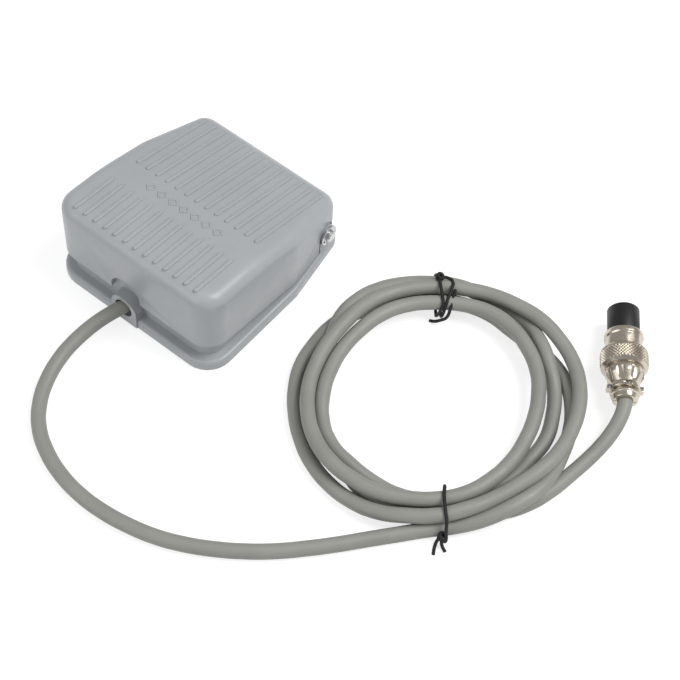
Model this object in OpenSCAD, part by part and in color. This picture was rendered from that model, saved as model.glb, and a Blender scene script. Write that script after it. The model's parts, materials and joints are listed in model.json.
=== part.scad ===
// Industrial foot switch: a ribbed die-cast cover hinged on a die-cast base, with a snap-action
// switch, return springs and a coiled lead that ends in a round plug with a knurled ring.
// Millimetres. The origin is the middle of the underside, -Y is the cord side, +Y the hinge side
// and +Z is up. The cover is drawn released. Pressing it turns it about +X.

/* [Base casting] */
// Width of the base across its straight front part
base_w = 82; // [79:0.5:86]
// Length of the base from front to rear
base_l = 86; // [84:0.5:92]
// Width of the base at its rear edge
base_rear_w = 71; // [69:0.5:74]
// Length of the straight part of the sides, from the front edge
side_straight = 52; // [46:1:58]
// Corner radius at the front
front_corner_r = 11; // [8:0.5:14]
// Corner radius at the rear
rear_corner_r = 6; // [4:0.5:8]
// Height of the rim above the floor
rim_top = 5.2; // [4.6:0.1:5.4]
// Thickness of the base plate
plate_t = 3; // [2.4:0.2:3.6]
// Thickness of the inner wall
wall_t = 2.2; // [1.8:0.1:2.8]
// Height of the inner wall at the front
wall_front_z = 29; // [26:0.5:30]
// Height of the inner wall at the rear
wall_rear_z = 22; // [20:0.5:23]
// Diameter of the two fixing holes
fixing_d = 4.5; // [3.5:0.1:5.5]
// Distance between the two fixing holes
fixing_span = 56; // [52:1:60]

/* [Cover] */
// Step from the edge of the base in to the skirt of the cover
cover_step = 1.2; // [0.8:0.1:1.8]
// Thickness of the skirt
skirt_t = 2.2; // [1.8:0.1:2.6]
// Thickness of the top
top_t = 2.4; // [2:0.1:3]
// Gap between the skirt and the inner wall
wall_gap = 0.8; // [0.7:0.1:1.2]
// Height of the top surface above the floor at the front edge
cover_front_z = 43.6; // [42:0.2:46]
// Fall of the front part of the top, degrees
front_fall = 4.9; // [3.5:0.1:6]
// Fall of the rear part of the top, degrees
rear_fall = 13; // [12:0.1:14]
// Distance of the crease behind the front edge of the base
crease_back = 28; // [25:0.5:31]
// Radius round the top edge
top_edge_r = 5.5; // [4:0.5:7]
// Height of the skirt's lower edge at the front
skirt_front_z = 14.9; // [14.4:0.1:16]
// Height of the skirt's lower edge at the hinge
skirt_rear_z = 6.2; // [6.2:0.1:6.8]

/* [Grip ribs] */
// Ribs in each row
rib_count = 13; // [9:2:13]
// Distance between ribs
rib_pitch = 5; // [4.4:0.1:5.2]
// Width of a rib
rib_w = 1.7; // [1.2:0.1:2.4]
// Height of a rib above the surface
rib_h = 0.8; // [0.5:0.1:1.2]
// Length of the front ribs
front_rib_l = 21; // [16:0.5:22]
// Length of the rear ribs
rear_rib_l = 41; // [34:0.5:42]
// Distance of the front ribs behind the front edge of the base
front_rib_back = 4.6; // [4:0.1:6]
// Distance of the rear ribs in front of the rear edge of the base
rear_rib_in = 6; // [5.5:0.1:8]

/* [Hinge] */
// Diameter of the axle
axle_d = 5; // [4:0.1:5.4]
// Height of the axle
axle_z = 13.5; // [13.2:0.1:14.5]
// Distance of the axle in front of the rear edge
axle_in = 10; // [9.6:0.1:11]
// Thickness of an ear
ear_t = 3; // [2.6:0.1:3.2]
// Radius of an ear round the axle
ear_r = 4.4; // [4:0.1:4.8]
// Travel of the cover, degrees
press_angle = 6; // [4:0.5:6]
// Radial clearance of the hinge
hinge_play = 0.05; // [0.02:0.01:0.08]

/* [Return springs] */
// Wire diameter
spring_wire = 1.2; // [0.9:0.1:1.4]
// Mean diameter of the coils
spring_d = 10; // [9:0.2:11]
// Active turns
spring_turns = 7; // [5:1:9]
// Distance of the springs from the middle
spring_x = 17; // [15:0.5:18]
// Distance of the springs behind the front edge
spring_back = 21; // [20:0.5:24]

/* [Snap-action switch] */
// Width of the switch case
switch_w = 10.3; // [9.6:0.1:11]
// Height of the switch case
switch_h = 15.9; // [15:0.1:16.2]
// Height of the underside of the switch case
switch_z = 9.2; // [8.8:0.1:9.4]
// Distance between the switch's two screws
switch_screw_span = 22.2; // [21:0.1:23]
// Length of the switch case beyond each screw's middle
switch_edge = 2.8; // [2.4:0.1:3.4]
// Diameter of the switch's screws
switch_screw_d = 3; // [2.5:0.1:3.2]
// Angle of the switch lever at rest, degrees
lever_rise = 10.5; // [9.5:0.1:11]
// Diameter of the plunger
plunger_d = 3; // [2.5:0.1:3.4]
// Diameter of the adjusting screw
adjuster_d = 4; // [3:0.1:4.5]

/* [Cord] */
// Diameter of the cord
cord_d = 5.8; // [5.6:0.1:6.2]
// Distance of the cord outlet from the middle, towards +X
gland_x = -3; // [-5:0.5:0]
// Height of the cord outlet's axis
gland_z = 8.6; // [8.2:0.1:9]
// Diameter of the hole in the cord outlet
gland_bore = 8.4; // [8:0.1:9]
// Wall round the hole in the cord outlet
gland_wall = 2.2; // [1.8:0.1:2.4]
// Mean diameter of the coil
coil_d = 95.3; // [94:0.1:96]
// Width of the bundle of turns
coil_w = 16.7; // [15:0.1:18]
// Height of the bundle of turns
coil_h = 12; // [10:0.5:13]

/* [Plug] */
// Diameter of the knurled ring
ring_d = 18.8; // [18:0.1:20]
// Length of the knurled ring
ring_l = 8.6; // [8:0.2:9.6]
// Diameter of the barrel
barrel_d = 14.2; // [13.6:0.1:14.6]
// Diameter of the insert
insert_d = 12.7; // [12:0.1:13]
// Length of the insert that stands out of the barrel
insert_out = 11.8; // [10:0.1:12.6]
// Diameter of the rear body
body_d = 15; // [14.4:0.1:15.6]
// Number of contacts
contact_count = 4; // [2:1:5]
// Radial clearance of the knurled ring on the barrel
ring_play = 0.06; // [0.03:0.01:0.09]

/* [Hidden] */

// Roundness of exact circles, of pieces inside a hull, and of each rounded corner
$fn = 64;
hull_fn = 32;
corner_steps = 7;
edge_steps = 4;
eps = 0.01;

// Outline of the base
front_y = -base_l / 2;
rear_y = base_l / 2;
taper_y = front_y + side_straight;
taper_slope = (base_w - base_rear_w) / 2 / (base_l - side_straight);
taper_stretch = sqrt(1 + taper_slope * taper_slope);
crease_corner_r = 12;
foot_proud = 0.6;
plate_top = foot_proud + plate_t;

// Hinge
axle_y = rear_y - axle_in;
hinge_hole_r = axle_d / 2 + hinge_play;
ear_out_x = side_x(axle_y, 0) - 0.5;
ear_in_x = ear_out_x - ear_t;
ear_gap = 0.6;
cheek_out_x = ear_in_x - ear_gap;
cheek_t = 2.6;
cheek_in_x = cheek_out_x - cheek_t;
cheek_front_y = axle_y - 6.5;
cheek_low_z = axle_z - 5.5;
washer_t = 0.4;
clip_t = 0.8;
clip_d = axle_d * 1.8;
groove_depth = 0.5;
axle_end_x = ear_out_x + clip_t + 1.6;

// Inner wall of the base
wall_step = cover_step + skirt_t + wall_gap;
wall_narrow_y = axle_y - 9;
wall_narrow_x = cheek_in_x - ear_gap;
wall_rear_y = rear_y - wall_step - 2.2;

// Cover
skirt_front_y = front_y + cover_step;
skirt_rear_y = rear_y - cover_step;
skirt_level_y = axle_y - 5;
crease_y = front_y + crease_back;
crease_blend = 5;
front_drop = tan(front_fall);
rear_drop = tan(rear_fall);
crease_z = cover_front_z - front_drop * (crease_y - skirt_front_y);
above_all = cover_front_z + 10;
lozenge_y = crease_y + 4.6;
lozenge_w = 4.8;
lozenge_line = 0.9;
lozenge_h = 0.5;
lozenge_pitch = 5.6;
press_fall = (axle_y - front_y) * sin(press_angle);

// Cord outlet
gland_r = gland_bore / 2 + gland_wall;
gland_proud = 0.6;
gland_y = front_y - gland_proud;
notch_r = gland_r + 0.9;
notch_z = gland_z + press_fall;
cord_r = cord_d / 2;
grommet_in = 2.4;
grommet_flange_t = 1.6;
wall_inner_y = front_y + wall_step + wall_t;
grommet_front_y = gland_y + grommet_in;
cord_inner_l = 20;
cord_inner_y = grommet_front_y + cord_inner_l;
clamp_y = wall_inner_y + 5.4;
clamp_w = 5;
clamp_t = 1;
clamp_ear_x = cord_r + 3.6;
clamp_pad_top = gland_z - cord_r;
clamp_screw_d = 2.5;
screw_play = 0.05;

// Return springs
spring_y = front_y + spring_back;
spring_seat_z = plate_top + 1.4;
spring_top_z = 37.5;
spring_seat_r = spring_d / 2 + spring_wire / 2 + 1.2;
spring_pilot_r = spring_d / 2 - spring_wire / 2 - 0.8;
spring_pilot_l = 7;
spring_sides = 6;
spring_steps = 16;

// Stops
bumper_r = 4.5;
bumper_wall_gap = 2.1;
bumper_x = base_w / 2 - wall_step - wall_t - bumper_r - bumper_wall_gap;
bumper_y = front_y + 13;
bumper_h = 6;
bumper_z = 18;
bumper_stem_r = 1.6;
bumper_stem_l = 3;
peg_r = 4;
peg_z = bumper_z + bumper_h + (axle_y - bumper_y + peg_r) * sin(press_angle) + 0.15;
rear_stop_x = 15;
rear_stop_w = 8;
rear_stop_gap = 0.15;
rear_stop_z = skirt_rear_z + 2.3;

// Snap-action switch
switch_y = 4.9;
switch_l = switch_screw_span + 2 * switch_edge;
switch_top = switch_z + switch_h;
shell_t = 1.3;
switch_cover_t = 2.4;
switch_split_x = switch_w / 2 - switch_cover_t;
switch_hole_z = switch_z + 3;
switch_hole_r = switch_screw_d / 2 + 0.05;
lever_hinge_y = switch_y + switch_l / 2 - 2.3;
lever_hinge_z = switch_top + 0.4;
lever_pin_r = 0.6;
lever_curl_r = 1.2;
lever_lug_r = 1.6;
lever_lug_x = 4;
lever_side_gap = 0.3;
lever_t = 0.4;
lever_w = 4.6;
lever_l = 25;
plunger_arm = 7.5;
plunger_y = lever_hinge_y - plunger_arm;
plunger_gap = 0.12;
plunger_tip_l = 0.8;
plunger_tip_r = 0.4;
plunger_travel = plunger_arm * tan(lever_rise);
plunger_top = lever_hinge_z + plunger_travel - lever_t / 2 / cos(lever_rise) - plunger_gap;
plunger_play = 0.08;
plunger_foot_z = switch_top - 5.2;
blade_top = plunger_foot_z - plunger_travel - 0.2;
blade_t = 0.3;
blade_w = 3.2;
rivet_y = switch_y - 8;
rivet_r = 1.4;
rivet_head = 0.5;
contact_open = 0.4;
contact_arm = 21.5;
contact_y = lever_hinge_y - contact_arm;
contact_gap = 0.22;
contact_z = lever_hinge_z + contact_arm * tan(lever_rise);
adjuster_tip_z = contact_z + lever_t / 2 / cos(lever_rise) + contact_gap;
adjuster_l = 7.6;
adjuster_boss_r = adjuster_d / 2 + 2.4;
adjuster_boss_z = adjuster_tip_z + 3.6;
locknut_t = 2.2;
locknut_af = adjuster_d * 1.75;
terminal_w = 4.8;
terminal_t = 0.6;
terminal_l = 6.4;
terminal_in = 7.5;
common_terminal_in = 5.5;
terminal_eye_r = 0.9;
open_terminal_z = blade_top - blade_t - 1.6;
closed_terminal_z = blade_top + 1.7;
common_terminal_z = blade_top - blade_t - terminal_t / 2;
bracket_t = 1.6;
bracket_wing = 3.6;
bracket_foot_wing = 3.4;
bracket_rise = 4.4;
bracket_x = -switch_w / 2 - bracket_t;
bracket_foot_l = 13;
bracket_pad_z = plate_top + 2;
bracket_screw_x = bracket_x - 7;
bracket_screw_span = 12;
bracket_screw_d = 3;
bracket_screw_l = 4.6;
pan_head_r = 2.9;
pan_head_h = 1.9;
nut_af = 5.5;
nut_t = 2.2;
nut_end = 1;
switch_head_r = 2.7;
switch_screw_l = switch_w + bracket_t + nut_t + nut_end;

// Earth connection
earth_x = 20;
earth_y = -2;
earth_screw_d = 4;
earth_tag_t = 0.8;
wire_r = 0.8;
wire_sides = 8;
wire_steps = 9;

// Feet
foot_r = 5;
foot_t = 1.6;
foot_play = 0.1;
foot_x = base_w / 2 - 12;
foot_rear_x = base_rear_w / 2 - 9;
foot_in = 10;

// Cord on the floor. The points are its centre line.
lead_route = [
    [gland_x, grommet_front_y, gland_z], [-4.6, -46.5, 8.4], [-6.1, -51.7, 7.9], [-7.2, -57, 7.2],
    [-7.9, -62.4, 6.3], [-8.1, -67.9, 5.5], [-7.8, -73.3, 4.6], [-5.1, -83.9, 3.4],
    [0.1, -93.5, 2.9], [7.6, -101.4, 2.9], [17.1, -107, 2.9], [27.5, -110.5, 2.9],
    [38.4, -112.1, 2.9], [49.3, -111.9, 2.9], [60.2, -110.2, 2.9], [70.8, -107.3, 2.9],
    [80.9, -102.9, 2.9], [90.4, -97.4, 2.9], [99.4, -91, 2.9], [107.7, -83.9, 2.9],
    [115.4, -76, 2.9], [122.7, -67.8, 2.9], [129.7, -59.3, 2.9], [136.8, -50.8, 2.9],
    [143.8, -42.4, 2.9]
];
tail_route = [
    [165.9, -9.8, 2.9], [169.3, 0.6, 2.9], [171.2, 11.5, 2.9], [172.8, 22.3, 3.7],
    [173.4, 27.6, 4.9], [173.6, 33, 6.3], [173.2, 38, 7.7], [172.2, 42.6, 8.8],
    [170.5, 46.7, 9.4], [166.3, 52.9, 9.4]
];
tube_sides = 10;
coil_x = 115.5;
coil_y = 3.1;
tie_t = 1.4;
tie_top_turn = 128;
tie_bottom_turn = 310;

// Plug. It is drawn along +Y from the end where the cord goes in, then turned on the floor.
plug_x = 170.5;
plug_y = 46.7;
plug_turn = 34;
plug_z = ring_d / 2;
saddle_l = 4.2;
saddle_r = cord_r + 1.9;
saddle_ear_x = cord_r + 2.9;
saddle_screw_r = 1;
saddle_head_r = 1.5;
saddle_ear_margin = 1.5;
saddle_ear_in = 0.3;
saddle_head_h = 1.3;
body_start = saddle_l;
flange_l = 2;
flange_d = 12.4;
cone_l = 4.2;
cone_d = 10.4;
set_screw_r = 0.8;
ring_start = 14;
body_end = ring_start - 0.2;
barrel_start = body_end - 3.2;
barrel_end = ring_start + ring_l + 8.1;
thread_r = barrel_d / 2 - 0.6;
bead_l = 2.8;
bead_d = barrel_d + 1.1;
ring_lip_l = 2;
ring_bore_r = bead_d / 2 + 0.2;
insert_r = insert_d / 2;
insert_seat_r = insert_r - 0.5;
insert_start = barrel_start + 1;
insert_end = barrel_end + insert_out;
contact_r = 1.2;
contact_bore_r = 0.85;
contact_ring_r = 3.4;
contact_mouth_l = 4.5;
contact_start = insert_start - 2.4;
contact_end = insert_end - contact_mouth_l;

// Paint and metals
paint = [0.62, 0.65, 0.66];
steel = [0.75, 0.76, 0.78];
nickel = [0.78, 0.75, 0.70];
brass = [0.80, 0.66, 0.32];
black = [0.10, 0.10, 0.11];
cord_grey = [0.55, 0.56, 0.54];

// ---- Outline of the base and the cover ----

// Half width of the outline at y, set in by inset
function side_x(y, inset) =
    min(base_w / 2 - inset, base_w / 2 - taper_slope * (y - taper_y) - inset * taper_stretch);

function plan_corners(inset) =
    let(f = front_y + inset, r = rear_y - inset, w = base_w / 2 - inset,
        t = taper_y - inset * (taper_stretch - 1) / taper_slope, q = side_x(r, inset))
    [[-w, f], [w, f], [w, t], [q, r], [-q, r], [-w, t]];

function plan_radii(inset) =
    let(f = max(front_corner_r - inset, 0.6), r = max(rear_corner_r - inset, 0.6))
    [f, f, crease_corner_r, r, r, crease_corner_r];

// Points of the round that replaces corner b between its neighbours a and c
function corner_arc(a, b, c, r) =
    let(u = (a - b) / norm(a - b), v = (c - b) / norm(c - b), half = acos(u * v) / 2,
        m = b + (u + v) / norm(u + v) * r / sin(half),
        p = b + u * r / tan(half) - m, q = b + v * r / tan(half) - m,
        start = atan2(p.y, p.x), turn = (atan2(q.y, q.x) - start + 540) % 360 - 180)
    [for (i = [0 : corner_steps])
        m + r * [cos(start + turn * i / corner_steps), sin(start + turn * i / corner_steps)]];

function plan(inset) =
    let(p = plan_corners(inset), r = plan_radii(inset), n = len(p))
    [for (i = [0 : n - 1]) each corner_arc(p[(i + n - 1) % n], p[i], p[(i + 1) % n], r[i])];

module slab(inset, low, high) {
    translate([0, 0, low]) linear_extrude(high - low) polygon(plan(inset));
}

// ---- Top surface of the cover ----

// Two planes that meet at the crease, blended over a short length
function top_z(y) =
    let(d = y - crease_y, b = crease_blend)
    d < -b ? crease_z - front_drop * d
    : d > b ? crease_z - rear_drop * d
    : crease_z - (front_drop + rear_drop) / 2 * d
        - (rear_drop - front_drop) / (4 * b) * (d * d + b * b);

function skirt_z(y) =
    y > skirt_level_y ? skirt_rear_z
    : skirt_rear_z + (skirt_front_z - skirt_rear_z) * (skirt_level_y - y)
        / (skirt_level_y - skirt_front_y);

// One ring of points: the outline with extra points along both sides at the crease
function cover_ring(inset, drop) =
    let(bend = [for (i = [-2 : 2]) crease_y + crease_blend * i / 2],
        outline = concat(
            [for (p = plan(inset)) if (p.x > 0 && p.y < crease_y - crease_blend) p],
            [for (y = bend) [side_x(y, inset), y]],
            [for (p = plan(inset)) if (p.y > crease_y + crease_blend) p],
            [for (i = [4 : -1 : 0]) [-side_x(bend[i], inset), bend[i]]],
            [for (p = plan(inset)) if (p.x < 0 && p.y < crease_y - crease_blend) p]))
    [for (p = outline) [p.x, p.y, top_z(p.y) - drop]];

// Convex body under the top surface, with a rounded top edge, down to the level low
module cover_hull(inset, drop, r, low) {
    rings = [for (k = [0 : edge_steps])
        let(a = 90 * k / edge_steps) cover_ring(inset + r * (1 - cos(a)), drop + r * (1 - sin(a)))];
    foot = [for (p = rings[0]) [p.x, p.y, low]];
    all_rings = concat([foot], rings);
    n = len(foot);
    last = len(all_rings) - 1;
    hull() polyhedron(
        [for (ring = all_rings) each ring],
        concat(
            [[for (i = [0 : n - 1]) i]],
            [for (k = [0 : last - 1], i = [0 : n - 1])
                [k * n + i, (k + 1) * n + i, (k + 1) * n + (i + 1) % n, k * n + (i + 1) % n]],
            [[for (i = [n - 1 : -1 : 0]) last * n + i]]));
}

module cover_outer() {
    cover_hull(cover_step, 0, top_edge_r, 0);
}

// ---- Small shapes ----

// Bar with round ends along +Y, of length l over its ends
module bar(l, w) {
    translate([-w / 2, w / 2]) square([w, l - w]);
    for (y = [w / 2, l - w / 2]) translate([0, y]) circle(d = w, $fn = 24);
}

// Cylinder along +X from x0 to x1
module rod_x(x0, x1, y, z, r) {
    translate([x0, y, z]) rotate([0, 90, 0]) cylinder(h = x1 - x0, r = r);
}

// Cylinder along +Y from y0 to y1
module rod_y(y0, y1, x, z, r) {
    translate([x, y0, z]) rotate([-90, 0, 0]) cylinder(h = y1 - y0, r = r);
}

module rod_z(x, y, z0, z1, r) {
    translate([x, y, z0]) cylinder(h = z1 - z0, r = r);
}

module box(low, high) {
    translate(low) cube(high - low);
}

// Profile in the YZ plane, from -w to w across
module profile_x(points, w) {
    rotate([90, 0, 90]) translate([0, 0, -w]) linear_extrude(2 * w) polygon(points);
}

module both_sides() {
    for (s = [0, 1]) mirror([s, 0, 0]) children();
}

module pan_screw(d, l, head_r, head_h) {
    difference() {
        union() {
            translate([0, 0, -l]) cylinder(h = l, d = d);
            cylinder(h = head_h, r = head_r);
        }
        box([-head_r, -0.4, head_h - 0.9], [head_r, 0.4, head_h + 1]);
        box([-0.4, -head_r * 0.6, head_h - 0.9], [0.4, head_r * 0.6, head_h + 1]);
    }
}

// ---- Tubes along a route ----

function unit(v) = v / norm(v);

function route_direction(p, i) = unit(p[min(i + 1, len(p) - 1)] - p[max(i - 1, 0)]);

function tube_points(p, r, sides) =
    [for (i = [0 : len(p) - 1])
        let(t = route_direction(p, i), u = unit(cross(t, [0.02, 0.01, 1])), v = cross(u, t))
        for (k = [0 : sides - 1]) p[i] + r * (cos(360 * k / sides) * u + sin(360 * k / sides) * v)];

module tube(p, r, sides) {
    n = len(p);
    polyhedron(
        tube_points(p, r, sides),
        concat(
            [[for (k = [0 : sides - 1]) k]],
            [for (i = [0 : n - 2], k = [0 : sides - 1])
                [i * sides + k, (i + 1) * sides + k,
                 (i + 1) * sides + (k + 1) % sides, i * sides + (k + 1) % sides]],
            [[for (k = [sides - 1 : -1 : 0]) (n - 1) * sides + k]]));
}

function bezier(a, b, c, d, n) =
    [for (i = [0 : n]) let(t = i / n, s = 1 - t)
        s * s * s * a + 3 * s * s * t * b + 3 * s * t * t * c + t * t * t * d];

// ---- Base ----

module wall_solid(inset, low, high) {
    intersection() {
        slab(inset, low, high);
        union() {
            box([-base_w, front_y - 1, low - 1],
                [base_w, wall_narrow_y - (inset - wall_step), high + 1]);
            box([-wall_narrow_x + inset - wall_step, 0, low - 1],
                [wall_narrow_x - inset + wall_step, wall_rear_y - inset + wall_step, high + 1]);
        }
    }
}

module ear() {
    rod_x(ear_in_x, ear_out_x, axle_y, axle_z, ear_r);
    box([ear_in_x, axle_y - ear_r, foot_proud + 1], [ear_out_x, axle_y + ear_r, axle_z]);
}

module base() {
    color(paint) difference() {
        union() {
            slab(0, foot_proud, rim_top);
            difference() {
                wall_solid(wall_step, rim_top - eps, wall_front_z);
                profile_x([[front_y, wall_front_z], [wall_rear_y, wall_rear_z],
                    [wall_rear_y + 5, wall_rear_z], [wall_rear_y + 5, above_all],
                    [front_y, above_all]], base_w);
            }
            both_sides() ear();
            rod_y(gland_y, wall_inner_y + eps, gland_x, gland_z, gland_r);
            box([gland_x - gland_r, gland_y, foot_proud],
                [gland_x + gland_r, front_y + 8, gland_z]);
            both_sides() box([rear_stop_x - rear_stop_w / 2, wall_rear_y - 1, rim_top - 1],
                [rear_stop_x + rear_stop_w / 2,
                 skirt_rear_y - skirt_t - rear_stop_gap, rear_stop_z]);
        }
        difference() {
            wall_solid(wall_step + wall_t, plate_top, wall_front_z + 10);
            both_sides() {
                rod_z(spring_x, spring_y, 0, spring_seat_z, spring_seat_r);
                rod_z(spring_x, spring_y, 0, spring_seat_z + spring_pilot_l, spring_pilot_r);
                rod_z(bumper_x, bumper_y, 0, bumper_z, peg_r);
            }
            bracket_pads();
            rod_z(earth_x, earth_y, 0, bracket_pad_z, 4.6);
            box([gland_x - clamp_ear_x - 2.6, clamp_y - clamp_w / 2, 0],
                [gland_x + clamp_ear_x + 2.6, clamp_y + clamp_w / 2, clamp_pad_top]);
        }
        rod_x(-base_w, base_w, axle_y, axle_z, hinge_hole_r);
        rod_y(gland_y - 1, wall_inner_y + 1, gland_x, gland_z, gland_bore / 2);
        both_sides() {
            rod_z(fixing_span / 2, 0, -1, plate_top + 1, fixing_d / 2);
            rod_z(bumper_x, bumper_y, bumper_z - bumper_stem_l, bumper_z + 1, bumper_stem_r);
            rod_z(foot_x, front_y + foot_in, -1, foot_t, foot_r + foot_play);
            rod_z(foot_rear_x, rear_y - foot_in, -1, foot_t, foot_r + foot_play);
        }
        for (s = [-1, 1])
            rod_z(gland_x + s * clamp_ear_x, clamp_y, clamp_pad_top - 3.4, clamp_pad_top + 1,
                clamp_screw_d / 2 + screw_play);
        for (s = [-1, 1])
            rod_z(bracket_screw_x, switch_y + s * bracket_screw_span / 2,
                bracket_pad_z - bracket_screw_l + bracket_t - 0.2, bracket_pad_z + 1,
                bracket_screw_d / 2 + screw_play);
        rod_z(earth_x, earth_y, bracket_pad_z - 4, bracket_pad_z + 1,
            earth_screw_d / 2 + screw_play);
    }
}

module bracket_pads() {
    for (s = [-1, 1])
        rod_z(bracket_screw_x, switch_y + s * bracket_screw_span / 2, 0, bracket_pad_z, 4);
}

module rubber_feet() {
    color(black) both_sides() {
        rod_z(foot_x, front_y + foot_in, 0, foot_t, foot_r);
        rod_z(foot_rear_x, rear_y - foot_in, 0, foot_t, foot_r);
    }
}

// ---- Cover ----

module grip_rib(x, y, l, fall) {
    translate([x, y, top_z(y)]) rotate([-fall, 0, 0])
        translate([0, 0, -0.5]) linear_extrude(rib_h + 0.5) bar(l / cos(fall), rib_w);
}

module grip_ribs() {
    for (i = [0 : rib_count - 1]) {
        x = (i - (rib_count - 1) / 2) * rib_pitch;
        grip_rib(x, front_y + front_rib_back, front_rib_l, front_fall);
        grip_rib(x, rear_y - rear_rib_in - rear_rib_l, rear_rib_l, rear_fall);
    }
}

// What stands inside the cover, cut off by its outer surface
module cover_inside() {
    intersection() {
        cover_outer();
        union() {
            both_sides() {
                box([cheek_in_x, cheek_front_y, cheek_low_z],
                    [side_x(axle_y, cover_step) - 1, skirt_rear_y - 1, above_all]);
                rod_z(spring_x, spring_y, spring_top_z, above_all, spring_seat_r);
                rod_z(spring_x, spring_y, spring_top_z - spring_pilot_l, above_all,
                    spring_pilot_r);
                rod_z(bumper_x, bumper_y, peg_z, above_all, peg_r);
            }
            rod_z(0, contact_y, adjuster_boss_z, above_all, adjuster_boss_r);
        }
    }
}

module cover() {
    color(paint) difference() {
        union() {
            difference() {
                cover_outer();
                cover_hull(cover_step + skirt_t, top_t, max(top_edge_r - skirt_t, 1), -5);
            }
            cover_inside();
            grip_ribs();
            lozenge_band();
        }
        profile_x([[front_y - 5, -9], [rear_y + 5, -9], [rear_y + 5, skirt_rear_z],
            [skirt_level_y, skirt_rear_z], [front_y - 5, skirt_z(front_y - 5)]], base_w);
        rod_y(front_y - 5, front_y + 10, gland_x, notch_z, notch_r);
        box([gland_x - notch_r, front_y - 5, 0], [gland_x + notch_r, front_y + 10, notch_z]);
        both_sides() {
            rod_x(cheek_out_x, base_w, axle_y, axle_z, ear_r + ear_gap);
            box([cheek_out_x, axle_y - ear_r - 0.8, 0], [base_w, axle_y + ear_r + 0.8, axle_z]);
        }
        rod_x(-base_w, base_w, axle_y, axle_z, hinge_hole_r);
        rod_z(0, contact_y, adjuster_boss_z - 1, adjuster_tip_z + adjuster_l + 0.1,
            adjuster_d / 2 + screw_play);
    }
}

// Row of plain raised lozenges between the two rows of ribs
module lozenge(w) {
    polygon([[-w, 0], [0, -w], [w, 0], [0, w]]);
}

module lozenge_band() {
    for (i = [-3 : 3])
        translate([i * lozenge_pitch, lozenge_y, top_z(lozenge_y)]) rotate([-rear_fall, 0, 0])
            translate([0, 0, -0.5]) linear_extrude(lozenge_h + 0.5) difference() {
                lozenge(lozenge_w / 2);
                lozenge(lozenge_w / 2 - lozenge_line);
            }
}

// ---- Hinge ----

module hinge_axle() {
    groove_x = ear_out_x + 0.1;
    color(steel) difference() {
        union() {
            rod_x(-axle_end_x + 0.5, axle_end_x - 0.5, axle_y, axle_z, axle_d / 2);
            both_sides() translate([axle_end_x - 0.5, axle_y, axle_z]) rotate([0, 90, 0])
                cylinder(h = 0.5, r1 = axle_d / 2, r2 = axle_d / 2 - 0.5);
        }
        both_sides() difference() {
            rod_x(groove_x, groove_x + clip_t + 0.1, axle_y, axle_z, axle_d);
            rod_x(groove_x - 1, groove_x + clip_t + 1, axle_y, axle_z, axle_d / 2 - groove_depth);
        }
    }
}

module axle_clips() {
    grip_r = axle_d / 2 - groove_depth + 0.02;
    color(steel) both_sides() translate([ear_out_x + 0.15, axle_y, axle_z]) rotate([0, 90, 0])
        linear_extrude(clip_t) difference() {
            circle(d = clip_d);
            circle(r = grip_r);
            translate([0, -grip_r]) square([clip_d, 2 * grip_r]);
            for (a = [70, 180, 290]) rotate(a) translate([clip_d / 2 - 1.5, -0.9])
                square([0.8, 1.8]);
        }
}

module axle_washers() {
    color(steel) both_sides() translate([cheek_out_x + 0.1, axle_y, axle_z]) rotate([0, 90, 0])
        difference() {
            cylinder(h = washer_t, r = ear_r - 0.4);
            translate([0, 0, -1]) cylinder(h = 3, r = hinge_hole_r);
        }
}

// ---- Springs and stops ----

function spring_route() =
    let(turns = spring_turns + 2, n = turns * spring_steps, low = spring_seat_z + spring_wire / 2,
        high = spring_top_z - spring_wire / 2, dead = spring_wire)
    [for (i = [0 : n])
        let(t = i / spring_steps, climb = max(0, min(1, (t - 1) / spring_turns)),
            end = min(t, 1) + max(0, t - turns + 1))
        [spring_d / 2 * cos(360 * t), spring_d / 2 * sin(360 * t),
         low + dead * end + (high - low - 2 * dead) * climb]];

module return_spring(x) {
    color(steel) translate([x, spring_y, 0]) tube(spring_route(), spring_wire / 2, spring_sides);
}

module return_spring_left() {
    return_spring(-spring_x);
}

module return_spring_right() {
    return_spring(spring_x);
}

module stop_bumpers() {
    color(black) both_sides() {
        rod_z(bumper_x, bumper_y, bumper_z, bumper_z + bumper_h, bumper_r);
        rod_z(bumper_x, bumper_y, bumper_z - bumper_stem_l + 0.2, bumper_z + 1, bumper_stem_r);
    }
}

module adjusting_screw() {
    color(steel) difference() {
        union() {
            rod_z(0, contact_y, adjuster_tip_z + 0.6, adjuster_tip_z + adjuster_l, adjuster_d / 2);
            translate([0, contact_y, adjuster_tip_z])
                cylinder(h = 0.6, r1 = adjuster_d / 2 - 0.6, r2 = adjuster_d / 2);
        }
        box([-0.4, contact_y - 5, adjuster_tip_z - 1], [0.4, contact_y + 5, adjuster_tip_z + 0.8]);
    }
}

module adjuster_locknut() {
    color(steel) translate([0, contact_y, adjuster_boss_z - locknut_t]) difference() {
        cylinder(h = locknut_t, d = locknut_af / cos(30), $fn = 6);
        translate([0, 0, -1]) cylinder(h = locknut_t + 2, r = adjuster_d / 2 + screw_play);
    }
}

// ---- Snap-action switch ----

module switch_holes() {
    for (s = [-1, 1])
        rod_x(-switch_w, switch_w, switch_y + s * switch_screw_span / 2, switch_hole_z,
            switch_hole_r);
}

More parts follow.
